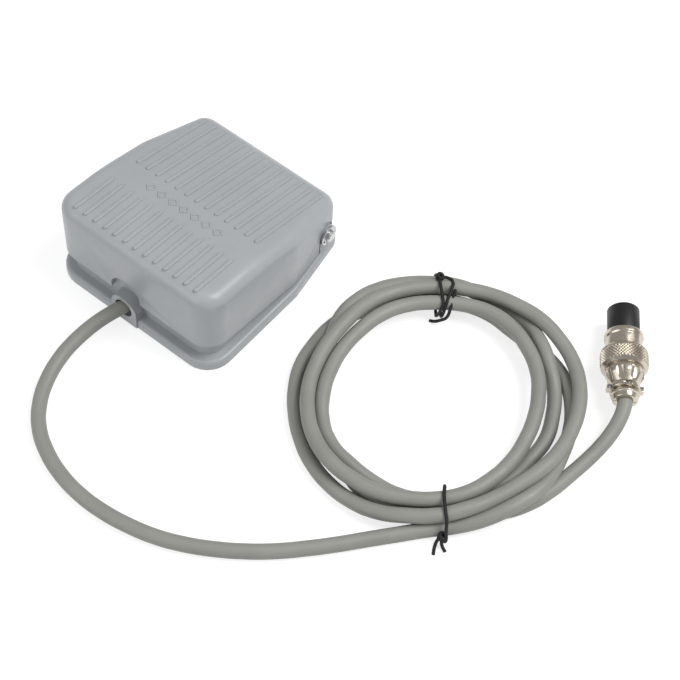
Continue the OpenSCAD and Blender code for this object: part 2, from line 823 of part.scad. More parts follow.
module switch_case() {
    low_y = switch_y - switch_l / 2;
    high_y = switch_y + switch_l / 2;
    color([0.12, 0.12, 0.13]) difference() {
        union() {
            box([-switch_w / 2, low_y, switch_z], [switch_split_x, high_y, switch_top]);
            lever_lug(-lever_lug_x, -lever_w / 2 - lever_side_gap);
        }
        difference() {
            box([-switch_w / 2 + shell_t, low_y + shell_t, switch_z + shell_t],
                [switch_w, high_y - shell_t, switch_top - shell_t - 0.9]);
            for (s = [-1, 1])
                rod_x(-switch_w, switch_w, switch_y + s * switch_screw_span / 2,
                    switch_hole_z, switch_hole_r + 1.2);
        }
        switch_holes();
        rod_z(0, plunger_y, switch_top - 4, switch_top + 2, plunger_d / 2 + plunger_play);
        lever_clearance();
        terminal_slots(0.02);
    }
}

// Ear on top of the case that holds one end of the lever's pin
module lever_lug(x0, x1) {
    box([x0, lever_hinge_y - lever_lug_r, switch_top - 1],
        [x1, lever_hinge_y + lever_lug_r, lever_hinge_z]);
    rod_x(x0, x1, lever_hinge_y, lever_hinge_z, lever_lug_r);
}

// Room for the curl of the lever, and the hole for its pin
module lever_clearance() {
    rod_x(-lever_w / 2 - lever_side_gap, lever_w / 2 + lever_side_gap, lever_hinge_y,
        lever_hinge_z, lever_curl_r + lever_side_gap);
    rod_x(-switch_w, switch_w, lever_hinge_y, lever_hinge_z, lever_pin_r);
}

module switch_cover() {
    color([0.16, 0.16, 0.17]) difference() {
        union() {
            box([switch_split_x, switch_y - switch_l / 2, switch_z],
                [switch_w / 2, switch_y + switch_l / 2, switch_top]);
            lever_lug(switch_split_x, lever_lug_x);
        }
        switch_holes();
        lever_clearance();
    }
}

module switch_plunger() {
    color([0.75, 0.12, 0.10]) {
        translate([0, plunger_y, 0]) rotate_extrude()
            polygon([[0, plunger_foot_z], [plunger_d / 2 + 0.6, plunger_foot_z],
                [plunger_d / 2 + 0.6, plunger_foot_z + 1], [plunger_d / 2, plunger_foot_z + 1],
                [plunger_d / 2, plunger_top - plunger_tip_l], [plunger_tip_r, plunger_top],
                [0, plunger_top]]);
    }
}

module switch_lever() {
    color(steel) translate([0, lever_hinge_y, lever_hinge_z]) rotate([-lever_rise, 0, 0]) {
        difference() {
            union() {
                box([-lever_w / 2, -lever_l, -lever_t / 2], [lever_w / 2, -0.6, lever_t / 2]);
                rod_x(-lever_w / 2, lever_w / 2, 0, 0, lever_curl_r);
            }
            rod_x(-lever_w, lever_w, 0, 0, lever_pin_r + 0.05);
        }
    }
}

// Spring blade with its moving contact, which rests on the end of the common terminal
module switch_blade() {
    color(brass) {
        box([-blade_w / 2, rivet_y - blade_w / 2, blade_top - blade_t],
            [blade_w / 2, switch_y + switch_l / 2 - common_terminal_in + 1.5, blade_top]);
        rod_z(0, rivet_y, blade_top - blade_t - rivet_head, blade_top - blade_t, rivet_r);
    }
}

module lever_pin() {
    color(steel) rod_x(-lever_lug_x, lever_lug_x, lever_hinge_y, lever_hinge_z, lever_pin_r);
}

// Flat terminal through an end wall: side is -1 at the front and 1 at the rear, z is its middle
module terminal_strip(side, z, inside, grow) {
    end_y = switch_y + side * switch_l / 2;
    y = [end_y + side * terminal_l, end_y - side * inside];
    box([-terminal_w / 2 - grow, min(y) - grow, z - terminal_t / 2 - grow],
        [terminal_w / 2 + grow, max(y) + grow, z + terminal_t / 2 + grow]);
}

module terminal_slots(grow) {
    terminal_strip(-1, open_terminal_z, terminal_in, grow);
    terminal_strip(-1, closed_terminal_z, terminal_in, grow);
    terminal_strip(1, common_terminal_z, common_terminal_in, grow);
}

module switch_terminals() {
    color(brass) difference() {
        union() {
            terminal_slots(0);
            rod_z(0, rivet_y, open_terminal_z, blade_top - blade_t - rivet_head - contact_open,
                rivet_r);
            rod_z(0, rivet_y, blade_top + 0.02, closed_terminal_z, rivet_r);
        }
        for (side = [-1, 1])
            rod_z(0, switch_y + side * (switch_l / 2 + terminal_l - 2), switch_z, switch_top,
                terminal_eye_r);
    }
}

module switch_screws() {
    head_x = switch_w / 2;
    color(steel) for (s = [-1, 1])
        translate([head_x, switch_y + s * switch_screw_span / 2, switch_hole_z])
            rotate([0, 90, 0])
                pan_screw(switch_screw_d, switch_screw_l, switch_head_r, pan_head_h);
}

module switch_nuts() {
    color(steel) for (s = [-1, 1])
        translate([bracket_x, switch_y + s * switch_screw_span / 2, switch_hole_z])
            rotate([0, -90, 0]) difference() {
                cylinder(h = nut_t, d = nut_af / cos(30), $fn = 6);
                translate([0, 0, -1]) cylinder(h = nut_t + 2, r = switch_screw_d / 2 + screw_play);
            }
}

module switch_bracket() {
    wide = switch_screw_span / 2 + bracket_wing;
    foot = bracket_screw_span / 2 + bracket_foot_wing;
    color(steel) difference() {
        union() {
            box([bracket_x, switch_y - wide, bracket_pad_z + bracket_t],
                [bracket_x + bracket_t, switch_y + wide, switch_hole_z + bracket_rise]);
            box([bracket_x, switch_y - foot, bracket_pad_z],
                [bracket_x + bracket_t, switch_y + foot, switch_hole_z]);
            box([bracket_x - bracket_foot_l, switch_y - foot, bracket_pad_z],
                [bracket_x + bracket_t, switch_y + foot, bracket_pad_z + bracket_t]);
        }
        switch_holes();
        for (s = [-1, 1])
            rod_z(bracket_screw_x, switch_y + s * bracket_screw_span / 2, bracket_pad_z - 1,
                bracket_pad_z + bracket_t + 1, bracket_screw_d / 2 + 0.1);
    }
}

module bracket_screws() {
    color(steel) for (s = [-1, 1])
        translate([bracket_screw_x, switch_y + s * bracket_screw_span / 2,
            bracket_pad_z + bracket_t])
            pan_screw(bracket_screw_d, bracket_screw_l, pan_head_r, pan_head_h);
}

// ---- Cord outlet and wiring ----

module cord_grommet() {
    color(black) difference() {
        union() {
            rod_y(grommet_front_y, wall_inner_y + grommet_flange_t, gland_x, gland_z,
                gland_bore / 2);
            rod_y(wall_inner_y, wall_inner_y + grommet_flange_t, gland_x, gland_z,
                gland_bore / 2 + 0.8);
        }
        rod_y(front_y - 5, 0, gland_x, gland_z, cord_r);
    }
}

module cord_inner_end() {
    color(cord_grey) rod_y(grommet_front_y, cord_inner_y, gland_x, gland_z, cord_r);
}

module cord_clamp() {
    color(steel) difference() {
        union() {
            rod_y(clamp_y - clamp_w / 2, clamp_y + clamp_w / 2, gland_x, gland_z,
                cord_r + clamp_t);
            box([gland_x - clamp_ear_x - 2.4, clamp_y - clamp_w / 2, clamp_pad_top],
                [gland_x + clamp_ear_x + 2.4, clamp_y + clamp_w / 2, clamp_pad_top + clamp_t]);
            box([gland_x - cord_r - clamp_t, clamp_y - clamp_w / 2, clamp_pad_top],
                [gland_x + cord_r + clamp_t, clamp_y + clamp_w / 2, gland_z]);
        }
        rod_y(clamp_y - 9, clamp_y + 9, gland_x, gland_z, cord_r);
        box([gland_x - cord_r, clamp_y - 9, -1], [gland_x + cord_r, clamp_y + 9, gland_z]);
        box([-base_w, clamp_y - 9, -1], [base_w, clamp_y + 9, clamp_pad_top]);
        for (s = [-1, 1])
            rod_z(gland_x + s * clamp_ear_x, clamp_y, 0, gland_z, clamp_screw_d / 2 + 0.1);
    }
}

module cord_clamp_screws() {
    color(steel) for (s = [-1, 1])
        translate([gland_x + s * clamp_ear_x, clamp_y, clamp_pad_top + clamp_t])
            pan_screw(clamp_screw_d, 4, 2, 1.5);
}

// Two cores to the open and common terminals and one to the earth tag
module lead_wires() {
    start = [gland_x, cord_inner_y, gland_z];
    tab = switch_l / 2 + terminal_l - 1.4;
    rise = wire_r + terminal_t / 2;
    open_from = start + [-1.2, 0, 0.8];
    open_to = [0, switch_y - tab, open_terminal_z + rise];
    common_from = start + [1.2, 0, 0.8];
    common_to = [0, switch_y + tab, common_terminal_z + rise];
    earth_from = start + [0, 0, -1.2];
    earth_to = [earth_x - 7.4, earth_y, bracket_pad_z + earth_tag_t + wire_r];
    color([0.75, 0.10, 0.10])
        tube(bezier(open_from, open_from + [0, 3, 0], open_to - [0, 3, 0], open_to, wire_steps),
            wire_r, wire_sides);
    color([0.10, 0.10, 0.70])
        tube(bezier(common_from, common_from + [18, 14, 0], common_to + [22, 8, 0], common_to,
            2 * wire_steps), wire_r, wire_sides);
    color([0.20, 0.60, 0.20])
        tube(bezier(earth_from, earth_from + [3, 6, -1], earth_to - [6, 0, 0], earth_to,
            wire_steps), wire_r, wire_sides);
}

module earth_tag() {
    color(brass) translate([earth_x, earth_y, bracket_pad_z]) difference() {
        union() {
            cylinder(h = earth_tag_t, r = 4);
            box([-7, -1.5, 0], [0, 1.5, earth_tag_t]);
        }
        translate([0, 0, -1]) cylinder(h = 3, r = earth_screw_d / 2 + 0.1);
    }
}

module earth_screw() {
    color(brass) translate([earth_x, earth_y, bracket_pad_z + earth_tag_t])
        pan_screw(earth_screw_d, 4.6, 3.6, 2.4);
}

// ---- Cord on the floor ----

module cord_lead() {
    color(cord_grey) tube(lead_route, cord_r, tube_sides);
}

module cord_tail() {
    color(cord_grey) tube(tail_route, cord_r, tube_sides);
}

module cord_coil() {
    bevel = 3;
    r = coil_d / 2;
    w = coil_w / 2;
    color(cord_grey) translate([coil_x, coil_y, 0]) rotate_extrude($fn = 96)
        polygon([[r - w, bevel], [r - w + bevel, 0], [r + w - bevel, 0], [r + w, bevel],
            [r + w, coil_h - bevel], [r + w - bevel, coil_h], [r - w + bevel, coil_h],
            [r - w, coil_h - bevel]]);
}

// Loop of black string round the bundle, in the plane through the coil's axis
module tie(turn) {
    w = coil_w / 2;
    color(black) translate([coil_x, coil_y, 0]) rotate(turn) translate([coil_d / 2, 0, 0])
        difference() {
            box([-w - tie_t, -tie_t / 2, 0.1], [w + tie_t, tie_t / 2, coil_h + tie_t]);
            box([-w, -tie_t, tie_t], [w, tie_t, coil_h]);
        }
}

module tie_top() {
    tie(tie_top_turn);
}

module tie_bottom() {
    tie(tie_bottom_turn);
}

// ---- Plug ----

module on_plug() {
    translate([plug_x, plug_y, plug_z]) rotate([0, 0, plug_turn]) children();
}

// Turned shape about the plug's axis from points of [radius, distance from the cord end]
module turned(points) {
    rotate([-90, 0, 0]) rotate_extrude() polygon(points);
}

// Half of the saddle that grips the cord, above the axis
module saddle_half() {
    difference() {
        union() {
            rod_y(0, saddle_l, 0, 0, saddle_r);
            box([-saddle_ear_x - saddle_ear_margin, saddle_ear_in, 0],
                [saddle_ear_x + saddle_ear_margin, saddle_l - saddle_ear_in, 2]);
        }
        rod_y(-1, saddle_l + 1, 0, 0, cord_r);
        box([-20, -1, -20], [20, saddle_l + 1, 0.2]);
        for (s = [-1, 1]) rod_z(s * saddle_ear_x, saddle_l / 2, -1, 5, saddle_screw_r);
    }
}

module plug_body() {
    r = body_d / 2;
    end = body_start + flange_l + cone_l;
    color(nickel) on_plug() {
        difference() {
            turned([[cord_r, body_start], [flange_d / 2, body_start],
                [flange_d / 2, body_start + flange_l], [cone_d / 2, body_start + flange_l],
                [r, end], [r, body_end], [thread_r, body_end], [thread_r, barrel_start],
                [thread_r - 0.8, barrel_start], [thread_r - 0.8, end - 1.2],
                [cord_r, end - 3.6]]);
            rod_z(0, body_start + flange_l / 2, 0, r, set_screw_r);
        }
        mirror([0, 0, 1]) saddle_half();
        difference() {
            rod_y(saddle_l - 1, body_start + eps, 0, 0, saddle_r);
            rod_y(saddle_l - 2, body_start + 1, 0, 0, cord_r);
            box([-20, 0, -0.2], [20, 20, 20]);
        }
    }
}

module plug_saddle() {
    color(nickel) on_plug() intersection() {
        saddle_half();
        box([-20, 0, 0], [20, saddle_l - 0.2, 20]);
    }
}

module plug_saddle_screws() {
    color(steel) on_plug() for (s = [-1, 1])
        translate([s * saddle_ear_x, saddle_l / 2, 2])
            pan_screw(2 * saddle_screw_r, 4, saddle_head_r, saddle_head_h);
}

module plug_set_screw() {
    color(steel) on_plug() difference() {
        rod_z(0, body_start + flange_l / 2, cord_r + 0.4, flange_d / 2 - 0.3, set_screw_r);
        box([-set_screw_r, body_start + flange_l / 2 - 0.2, flange_d / 2 - 0.9],
            [set_screw_r, body_start + flange_l / 2 + 0.2, flange_d / 2]);
    }
}

module plug_barrel() {
    r = barrel_d / 2;
    color(nickel) on_plug() difference() {
        turned([[insert_seat_r, barrel_start], [thread_r, barrel_start], [thread_r, body_end],
            [r, body_end], [r, barrel_end - bead_l], [bead_d / 2, barrel_end - bead_l + 0.5],
            [bead_d / 2, barrel_end - 0.5], [bead_d / 2 - 0.5, barrel_end],
            [insert_seat_r, barrel_end]]);
        translate([0, ring_start + ring_l + 2.4, r - 0.4]) cylinder(h = 3, r = 0.7);
    }
}

module coupling_ring() {
    r = ring_d / 2;
    end = ring_start + ring_l;
    lip_r = barrel_d / 2 + ring_play;
    color(nickel) on_plug()
        turned([[lip_r, ring_start], [r - 1.4, ring_start], [r, ring_start + 1.2],
            [r, end - 1.2], [r - 1, end], [ring_bore_r, end],
            [ring_bore_r, ring_start + ring_lip_l], [lip_r, ring_start + ring_lip_l]]);
}

module contact_places() {
    for (i = [0 : contact_count - 1])
        rotate([0, 360 * i / contact_count + 45, 0]) translate([contact_ring_r, 0, 0]) children();
}

module plug_insert() {
    color(black) on_plug() difference() {
        turned([[0, insert_start], [insert_seat_r, insert_start], [insert_seat_r, barrel_end],
            [insert_r, barrel_end], [insert_r, insert_end - 0.5], [insert_r - 0.5, insert_end],
            [0, insert_end]]);
        contact_places() {
            rod_y(insert_start - 1, contact_end, 0, 0, contact_r);
            rod_y(contact_end - 1, insert_end + 1, 0, 0, contact_bore_r);
        }
    }
}

module plug_contacts() {
    color(brass) on_plug() contact_places() difference() {
        rod_y(contact_start, contact_end, 0, 0, contact_r);
        rod_y(contact_end - 9, contact_end + 1, 0, 0, contact_bore_r);
        rod_y(contact_start - 1, contact_start + 2, 0, 0, contact_bore_r);
    }
}

base();
cover();
hinge_axle();
axle_clips();
axle_washers();
return_spring_left();
return_spring_right();
stop_bumpers();
adjusting_screw();
adjuster_locknut();
switch_case();
switch_cover();
switch_plunger();
switch_lever();
lever_pin();
switch_blade();
switch_terminals();
switch_screws();
switch_nuts();
switch_bracket();
bracket_screws();
cord_grommet();
cord_inner_end();
cord_clamp();
cord_clamp_screws();
lead_wires();
earth_tag();
earth_screw();
rubber_feet();
cord_lead();
cord_coil();
cord_tail();
tie_top();
tie_bottom();
plug_body();
plug_saddle();
plug_saddle_screws();
plug_set_screw();
plug_barrel();
coupling_ring();
plug_insert();
plug_contacts();
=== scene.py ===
import json
import math

import bpy
from mathutils import Matrix, Vector


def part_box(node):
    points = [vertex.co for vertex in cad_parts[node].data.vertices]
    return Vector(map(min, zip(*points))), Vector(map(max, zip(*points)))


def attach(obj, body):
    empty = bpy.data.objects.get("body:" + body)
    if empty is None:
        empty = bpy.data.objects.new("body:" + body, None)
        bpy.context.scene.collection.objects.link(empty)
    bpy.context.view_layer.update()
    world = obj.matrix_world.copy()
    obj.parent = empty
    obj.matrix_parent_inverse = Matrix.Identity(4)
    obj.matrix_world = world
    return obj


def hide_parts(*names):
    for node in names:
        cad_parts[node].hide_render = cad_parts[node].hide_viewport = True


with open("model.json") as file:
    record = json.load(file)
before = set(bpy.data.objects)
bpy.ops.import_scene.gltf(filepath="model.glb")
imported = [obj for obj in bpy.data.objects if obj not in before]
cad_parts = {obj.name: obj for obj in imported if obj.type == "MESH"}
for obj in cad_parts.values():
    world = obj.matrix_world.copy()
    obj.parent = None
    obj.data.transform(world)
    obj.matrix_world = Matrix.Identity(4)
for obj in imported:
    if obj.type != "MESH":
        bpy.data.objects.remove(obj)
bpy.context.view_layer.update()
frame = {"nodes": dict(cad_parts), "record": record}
nodes = frame["nodes"]
mm = 0.001
print("frame loaded,", len(nodes), "nodes")


# Selecting, starting and finishing a piece
def makeActive(piece):
    current = bpy.context.view_layer.objects.active
    if current and current.mode != "OBJECT":
        bpy.ops.object.mode_set(mode="OBJECT")
    bpy.ops.object.select_all(action="DESELECT")
    piece.select_set(True)
    bpy.context.view_layer.objects.active = piece


def startPiece(name):
    piece = bpy.context.view_layer.objects.active
    piece.name = name
    piece.data.name = name
    makeActive(piece)
    bpy.ops.object.transform_apply(location=True, rotation=True, scale=True)
    return piece


def openEdit(piece, kind="VERT"):
    makeActive(piece)
    bpy.ops.object.mode_set(mode="EDIT")
    bpy.ops.mesh.select_mode(type=kind)
    bpy.ops.mesh.select_all(action="SELECT")


def closeEdit():
    bpy.ops.object.mode_set(mode="OBJECT")


def pickVerts(piece, test):  # test gets a place in millimetres
    bpy.ops.mesh.select_mode(type="VERT")
    bpy.ops.mesh.select_all(action="DESELECT")
    bpy.ops.object.mode_set(mode="OBJECT")
    for vert in piece.data.vertices:
        vert.select = bool(test(vert.co / mm))
    bpy.ops.object.mode_set(mode="EDIT")


def pickEdges(piece, test):  # test gets both ends in millimetres
    bpy.ops.mesh.select_mode(type="EDGE")
    bpy.ops.mesh.select_all(action="DESELECT")
    bpy.ops.object.mode_set(mode="OBJECT")
    places = [vert.co / mm for vert in piece.data.vertices]
    for edge in piece.data.edges:
        edge.select = bool(test(places[edge.vertices[0]], places[edge.vertices[1]]))
    bpy.ops.object.mode_set(mode="EDIT")


def pickFaces(piece, test):  # test gets the middle in millimetres and the normal
    bpy.ops.mesh.select_mode(type="FACE")
    bpy.ops.mesh.select_all(action="DESELECT")
    bpy.ops.object.mode_set(mode="OBJECT")
    for face in piece.data.polygons:
        face.select = bool(test(face.center / mm, face.normal))
    bpy.ops.object.mode_set(mode="EDIT")


def cutAway(place, direction):  # removes what lies in front of a plane and closes the cut
    bpy.ops.mesh.select_all(action="SELECT")
    bpy.ops.mesh.bisect(plane_co=[v * mm for v in place], plane_no=direction, use_fill=True, clear_outer=True)


def squareUp():
    bpy.ops.mesh.select_all(action="SELECT")
    bpy.ops.mesh.remove_doubles(threshold=0.00001)
    bpy.ops.mesh.normals_make_consistent(inside=False)


def applyModifier(piece, kind, **settings):
    makeActive(piece)
    modifier = piece.modifiers.new(kind.lower(), kind)
    for key, value in settings.items():
        setattr(modifier, key, value)
    bpy.ops.object.modifier_apply(modifier=modifier.name)


def softenEdges(piece, width, angle=35, segments=2):
    applyModifier(piece, "BEVEL", width=width * mm, segments=segments, limit_method="ANGLE",
                  angle_limit=math.radians(angle), use_clamp_overlap=True, miter_outer="MITER_ARC")


def cutWith(piece, cutter, operation="DIFFERENCE"):
    applyModifier(piece, "BOOLEAN", operation=operation, solver="EXACT", object=cutter)
    bpy.data.objects.remove(cutter)


def smooth(piece, angle=32):
    makeActive(piece)
    bpy.ops.object.shade_smooth_by_angle(angle=math.radians(angle))


def duplicateOf(piece, shift=(0, 0, 0)):  # a copy with its own mesh, moved by millimetres
    makeActive(piece)
    bpy.ops.object.duplicate()
    copy = bpy.context.view_layer.objects.active
    copy.location = [v * mm for v in shift]
    bpy.ops.object.transform_apply(location=True, rotation=False, scale=False)
    return copy


def joinAll(piece, others):
    makeActive(piece)
    for other in others:
        other.select_set(True)
    bpy.ops.object.join()
    return piece


def boxPiece(name, low, high):
    middle = [(a + b) / 2 * mm for a, b in zip(low, high)]
    size = [(b - a) * mm for a, b in zip(low, high)]
    bpy.ops.mesh.primitive_cube_add(size=1, location=middle, scale=size)
    return startPiece(name)


def turnedPiece(name, profile, sides=64):  # profile of (radius, height), closed, turned about Z
    radius, height = profile[0]
    bpy.ops.mesh.primitive_circle_add(vertices=sides, radius=radius * mm, location=(0, 0, height * mm))
    piece = startPiece(name)
    openEdit(piece, "EDGE")
    for nextRadius, nextHeight in profile[1:]:
        bpy.ops.mesh.extrude_region_move(TRANSFORM_OT_translate={"value": (0, 0, (nextHeight - height) * mm)})
        grow = nextRadius / radius
        bpy.ops.transform.resize(value=(grow, grow, 1), center_override=(0, 0, nextHeight * mm))
        radius, height = nextRadius, nextHeight
    squareUp()
    closeEdit()
    return piece


def copyOfNode(nodeName, pieceName):  # a merged copy of a CAD solid
    source = nodes[nodeName]
    makeActive(source)
    bpy.ops.object.duplicate()
    piece = bpy.context.view_layer.objects.active
    for key in list(piece.keys()):
        if key.startswith("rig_"):
            del piece[key]
    piece.parent = None
    piece.name = pieceName
    piece.data.name = pieceName
    openEdit(piece)
    bpy.ops.mesh.remove_doubles(threshold=0.000005)
    bpy.ops.mesh.dissolve_limited(angle_limit=math.radians(0.5))
    closeEdit()
    smooth(piece)
    return piece


def dress(piece, body, slot, material, *replaced):
    if material:
        piece.data.materials.clear()
        piece.data.materials.append(material)
    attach(piece, body)
    if replaced:
        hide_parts(*replaced)
    return piece


# Camera
cameraLook = {"target": (66.895, 4.012, 0), "distance": 652.25, "azimuth": 34.458, "elevation": 55.487,
              "roll": 4.942, "lens": 88.253}


def makeCamera():
    azimuth = math.radians(cameraLook["azimuth"])
    elevation = math.radians(cameraLook["elevation"])
    roll = math.radians(cameraLook["roll"])
    back = Vector((math.sin(azimuth) * math.cos(elevation), -math.cos(azimuth) * math.cos(elevation),
                   math.sin(elevation)))
    right = Vector((math.cos(azimuth), math.sin(azimuth), 0))
    up = back.cross(right)
    rolledRight = right * math.cos(roll) + up * math.sin(roll)
    rolledUp = back.cross(rolledRight)
    place = (Vector(cameraLook["target"]) + back * cameraLook["distance"]) * mm
    turn = Matrix((rolledRight, rolledUp, back)).transposed().to_4x4()
    bpy.ops.object.camera_add()
    camera = bpy.context.view_layer.objects.active
    camera.name = "studioCamera"
    camera.matrix_world = Matrix.Translation(place) @ turn
    camera.data.lens = cameraLook["lens"]
    camera.data.sensor_width = 36
    camera.data.clip_start = 0.01
    camera.data.clip_end = 20
    bpy.context.scene.camera = camera


makeCamera()
print("camera placed")


# Finishes
def newFinish(name, colour, roughness=0.5, metallic=0.0):
    material = bpy.data.materials.new(name)
    material.use_nodes = True
    tree = material.node_tree
    shader = tree.nodes["Principled BSDF"]
    shader.inputs["Base Color"].default_value = (*colour, 1)
    shader.inputs["Roughness"].default_value = roughness
    shader.inputs["Metallic"].default_value = metallic
    place = tree.nodes.new("ShaderNodeTexCoord")
    return material, tree, shader, place.outputs["Object"]


def addNoise(tree, vector, scale, detail=3.0, roughness=0.5, stretch=None):
    if stretch:
        mapping = tree.nodes.new("ShaderNodeMapping")
        mapping.inputs["Scale"].default_value = stretch
        tree.links.new(vector, mapping.inputs["Vector"])
        vector = mapping.outputs["Vector"]
    noise = tree.nodes.new("ShaderNodeTexNoise")
    noise.inputs["Scale"].default_value = scale
    noise.inputs["Detail"].default_value = detail
    noise.inputs["Roughness"].default_value = roughness
    tree.links.new(vector, noise.inputs["Vector"])
    return noise.outputs["Fac"]


def addRange(tree, value, low, high, fromLow=0.3, fromHigh=0.7):
    spread = tree.nodes.new("ShaderNodeMapRange")
    for socket, number in (("From Min", fromLow), ("From Max", fromHigh), ("To Min", low), ("To Max", high)):
        spread.inputs[socket].default_value = number
    tree.links.new(value, spread.inputs["Value"])
    return spread.outputs["Result"]


def addBlend(tree, factor, first, second):
    mix = tree.nodes.new("ShaderNodeMix")
    mix.data_type = "RGBA"
    tree.links.new(factor, mix.inputs["Factor"])
    for socket, colour in ((mix.inputs[6], first), (mix.inputs[7], second)):
        if isinstance(colour, tuple):
            socket.default_value = (*colour, 1)
        else:
            tree.links.new(colour, socket)
    return mix.outputs[2]


def addBump(tree, shader, height, strength, distance, below=None):
    bump = tree.nodes.new("ShaderNodeBump")
    bump.inputs["Strength"].default_value = strength
    bump.inputs["Distance"].default_value = distance * mm
    tree.links.new(height, bump.inputs["Height"])
    if below:
        tree.links.new(below, bump.inputs["Normal"])
    tree.links.new(bump.outputs["Normal"], shader.inputs["Normal"])
    return bump.outputs["Normal"]


paintLook = {"colour": (0.402, 0.427, 0.446), "pale": (0.430, 0.455, 0.470), "roughness": 0.36, "peel": 0.05}


def paintFinish():
    material, tree, shader, place = newFinish("greySatinPaint", paintLook["colour"], paintLook["roughness"])
    clouds = addNoise(tree, place, 45, 4, 0.55)
    grains = addNoise(tree, place, 900, 2)
    tint = addBlend(tree, addRange(tree, clouds, 0, 1), paintLook["colour"], paintLook["pale"])
    speck = addBlend(tree, addRange(tree, grains, 0, 0.10), tint, (0.30, 0.32, 0.33))
    tree.links.new(speck, shader.inputs["Base Color"])
    smear = addNoise(tree, place, 130, 3)
    tree.links.new(addRange(tree, smear, paintLook["roughness"] - 0.04, paintLook["roughness"] + 0.06),
                   shader.inputs["Roughness"])
    shader.inputs["Specular IOR Level"].default_value = 0.5
    shader.inputs["Coat Weight"].default_value = 0.12
    shader.inputs["Coat Roughness"].default_value = 0.25
    peel = addNoise(tree, place, 700, 2)
    addBump(tree, shader, peel, 0.12, paintLook["peel"])
    return material


cordLook = {"colour": (0.322, 0.325, 0.293), "dark": (0.280, 0.283, 0.256), "roughness": 0.42}


def cordFinish():
    material, tree, shader, place = newFinish("greyCordJacket", cordLook["colour"], cordLook["roughness"])
    clouds = addNoise(tree, place, 60, 3)
    tint = addBlend(tree, addRange(tree, clouds, 0, 1), cordLook["colour"], cordLook["dark"])
    tree.links.new(tint, shader.inputs["Base Color"])
    smear = addNoise(tree, place, 220, 3)
    tree.links.new(addRange(tree, smear, 0.42, 0.58), shader.inputs["Roughness"])
    fine = addNoise(tree, place, 1400, 2)
    addBump(tree, shader, fine, 0.15, 0.04)
    return material


def metalFinish(name, colour, tint, roughness, grain=900.0, stretch=(1, 1, 1), depth=0.02):
    material, tree, shader, place = newFinish(name, colour, roughness, 1.0)
    stain = addNoise(tree, place, 260, 4, 0.6)
    tree.links.new(addBlend(tree, addRange(tree, stain, 0, 1), colour, tint), shader.inputs["Base Color"])
    lines = addNoise(tree, place, grain, 2, 0.5, stretch)
    tree.links.new(addRange(tree, lines, roughness - 0.05, roughness + 0.1), shader.inputs["Roughness"])
    addBump(tree, shader, lines, 0.15, depth)
    return material


def mouldedFinish(name, colour, roughness, fleck, depth=0.03):
    material, tree, shader, place = newFinish(name, colour, roughness)
    grain = addNoise(tree, place, 1100, 3, 0.6)
    clouds = addNoise(tree, place, 150, 3)
    tint = addBlend(tree, addRange(tree, grain, 0, 0.5), colour, fleck)
    tree.links.new(tint, shader.inputs["Base Color"])
    tree.links.new(addRange(tree, clouds, roughness - 0.06, roughness + 0.08), shader.inputs["Roughness"])
    addBump(tree, shader, grain, 0.15, depth)
    return material


def stringFinish():
    material, tree, shader, place = newFinish("blackTieString", (0.006, 0.006, 0.006), 0.7)
    fibre = addNoise(tree, place, 2600, 3, 0.6, (1, 1, 0.4))
    tint = addBlend(tree, addRange(tree, fibre, 0, 1), (0.005, 0.005, 0.005), (0.016, 0.016, 0.017))
    tree.links.new(tint, shader.inputs["Base Color"])
    addBump(tree, shader, fibre, 0.5, 0.08)
    return material


finishes = {
    "grey_paint": paintFinish(),
    "cord_jacket": cordFinish(),
    "nickel": metalFinish("warmNickel", (0.60, 0.545, 0.465), (0.54, 0.49, 0.415), 0.22, 700, depth=0.002),
    "axle_steel": metalFinish("brightAxleSteel", (0.66, 0.67, 0.67), (0.56, 0.57, 0.57), 0.36, 1200, depth=0.005),
    "spring_steel": metalFinish("springSteel", (0.36, 0.36, 0.37), (0.26, 0.25, 0.25), 0.35, 1200),
    "contact_brass": metalFinish("contactBrass", (0.72, 0.52, 0.24), (0.60, 0.42, 0.18), 0.28, 900),
    "black_rubber": mouldedFinish("blackRubber", (0.020, 0.020, 0.021), 0.75, (0.034, 0.034, 0.036), 0.06),
    "switch_plastic": mouldedFinish("darkSwitchPlastic", (0.030, 0.026, 0.024), 0.42, (0.055, 0.046, 0.040)),
    "plunger_plastic": mouldedFinish("redPlungerPlastic", (0.42, 0.035, 0.028), 0.35, (0.32, 0.025, 0.020)),
    "plug_insulator": mouldedFinish("blackPlugInsulator", (0.006, 0.006, 0.006), 0.46, (0.014, 0.014, 0.014), 0.01),
    "wire_insulation": mouldedFinish("wireInsulation", (0.35, 0.36, 0.36), 0.45, (0.28, 0.29, 0.29)),
    "tie_string": stringFinish(),
}
print("finishes made")


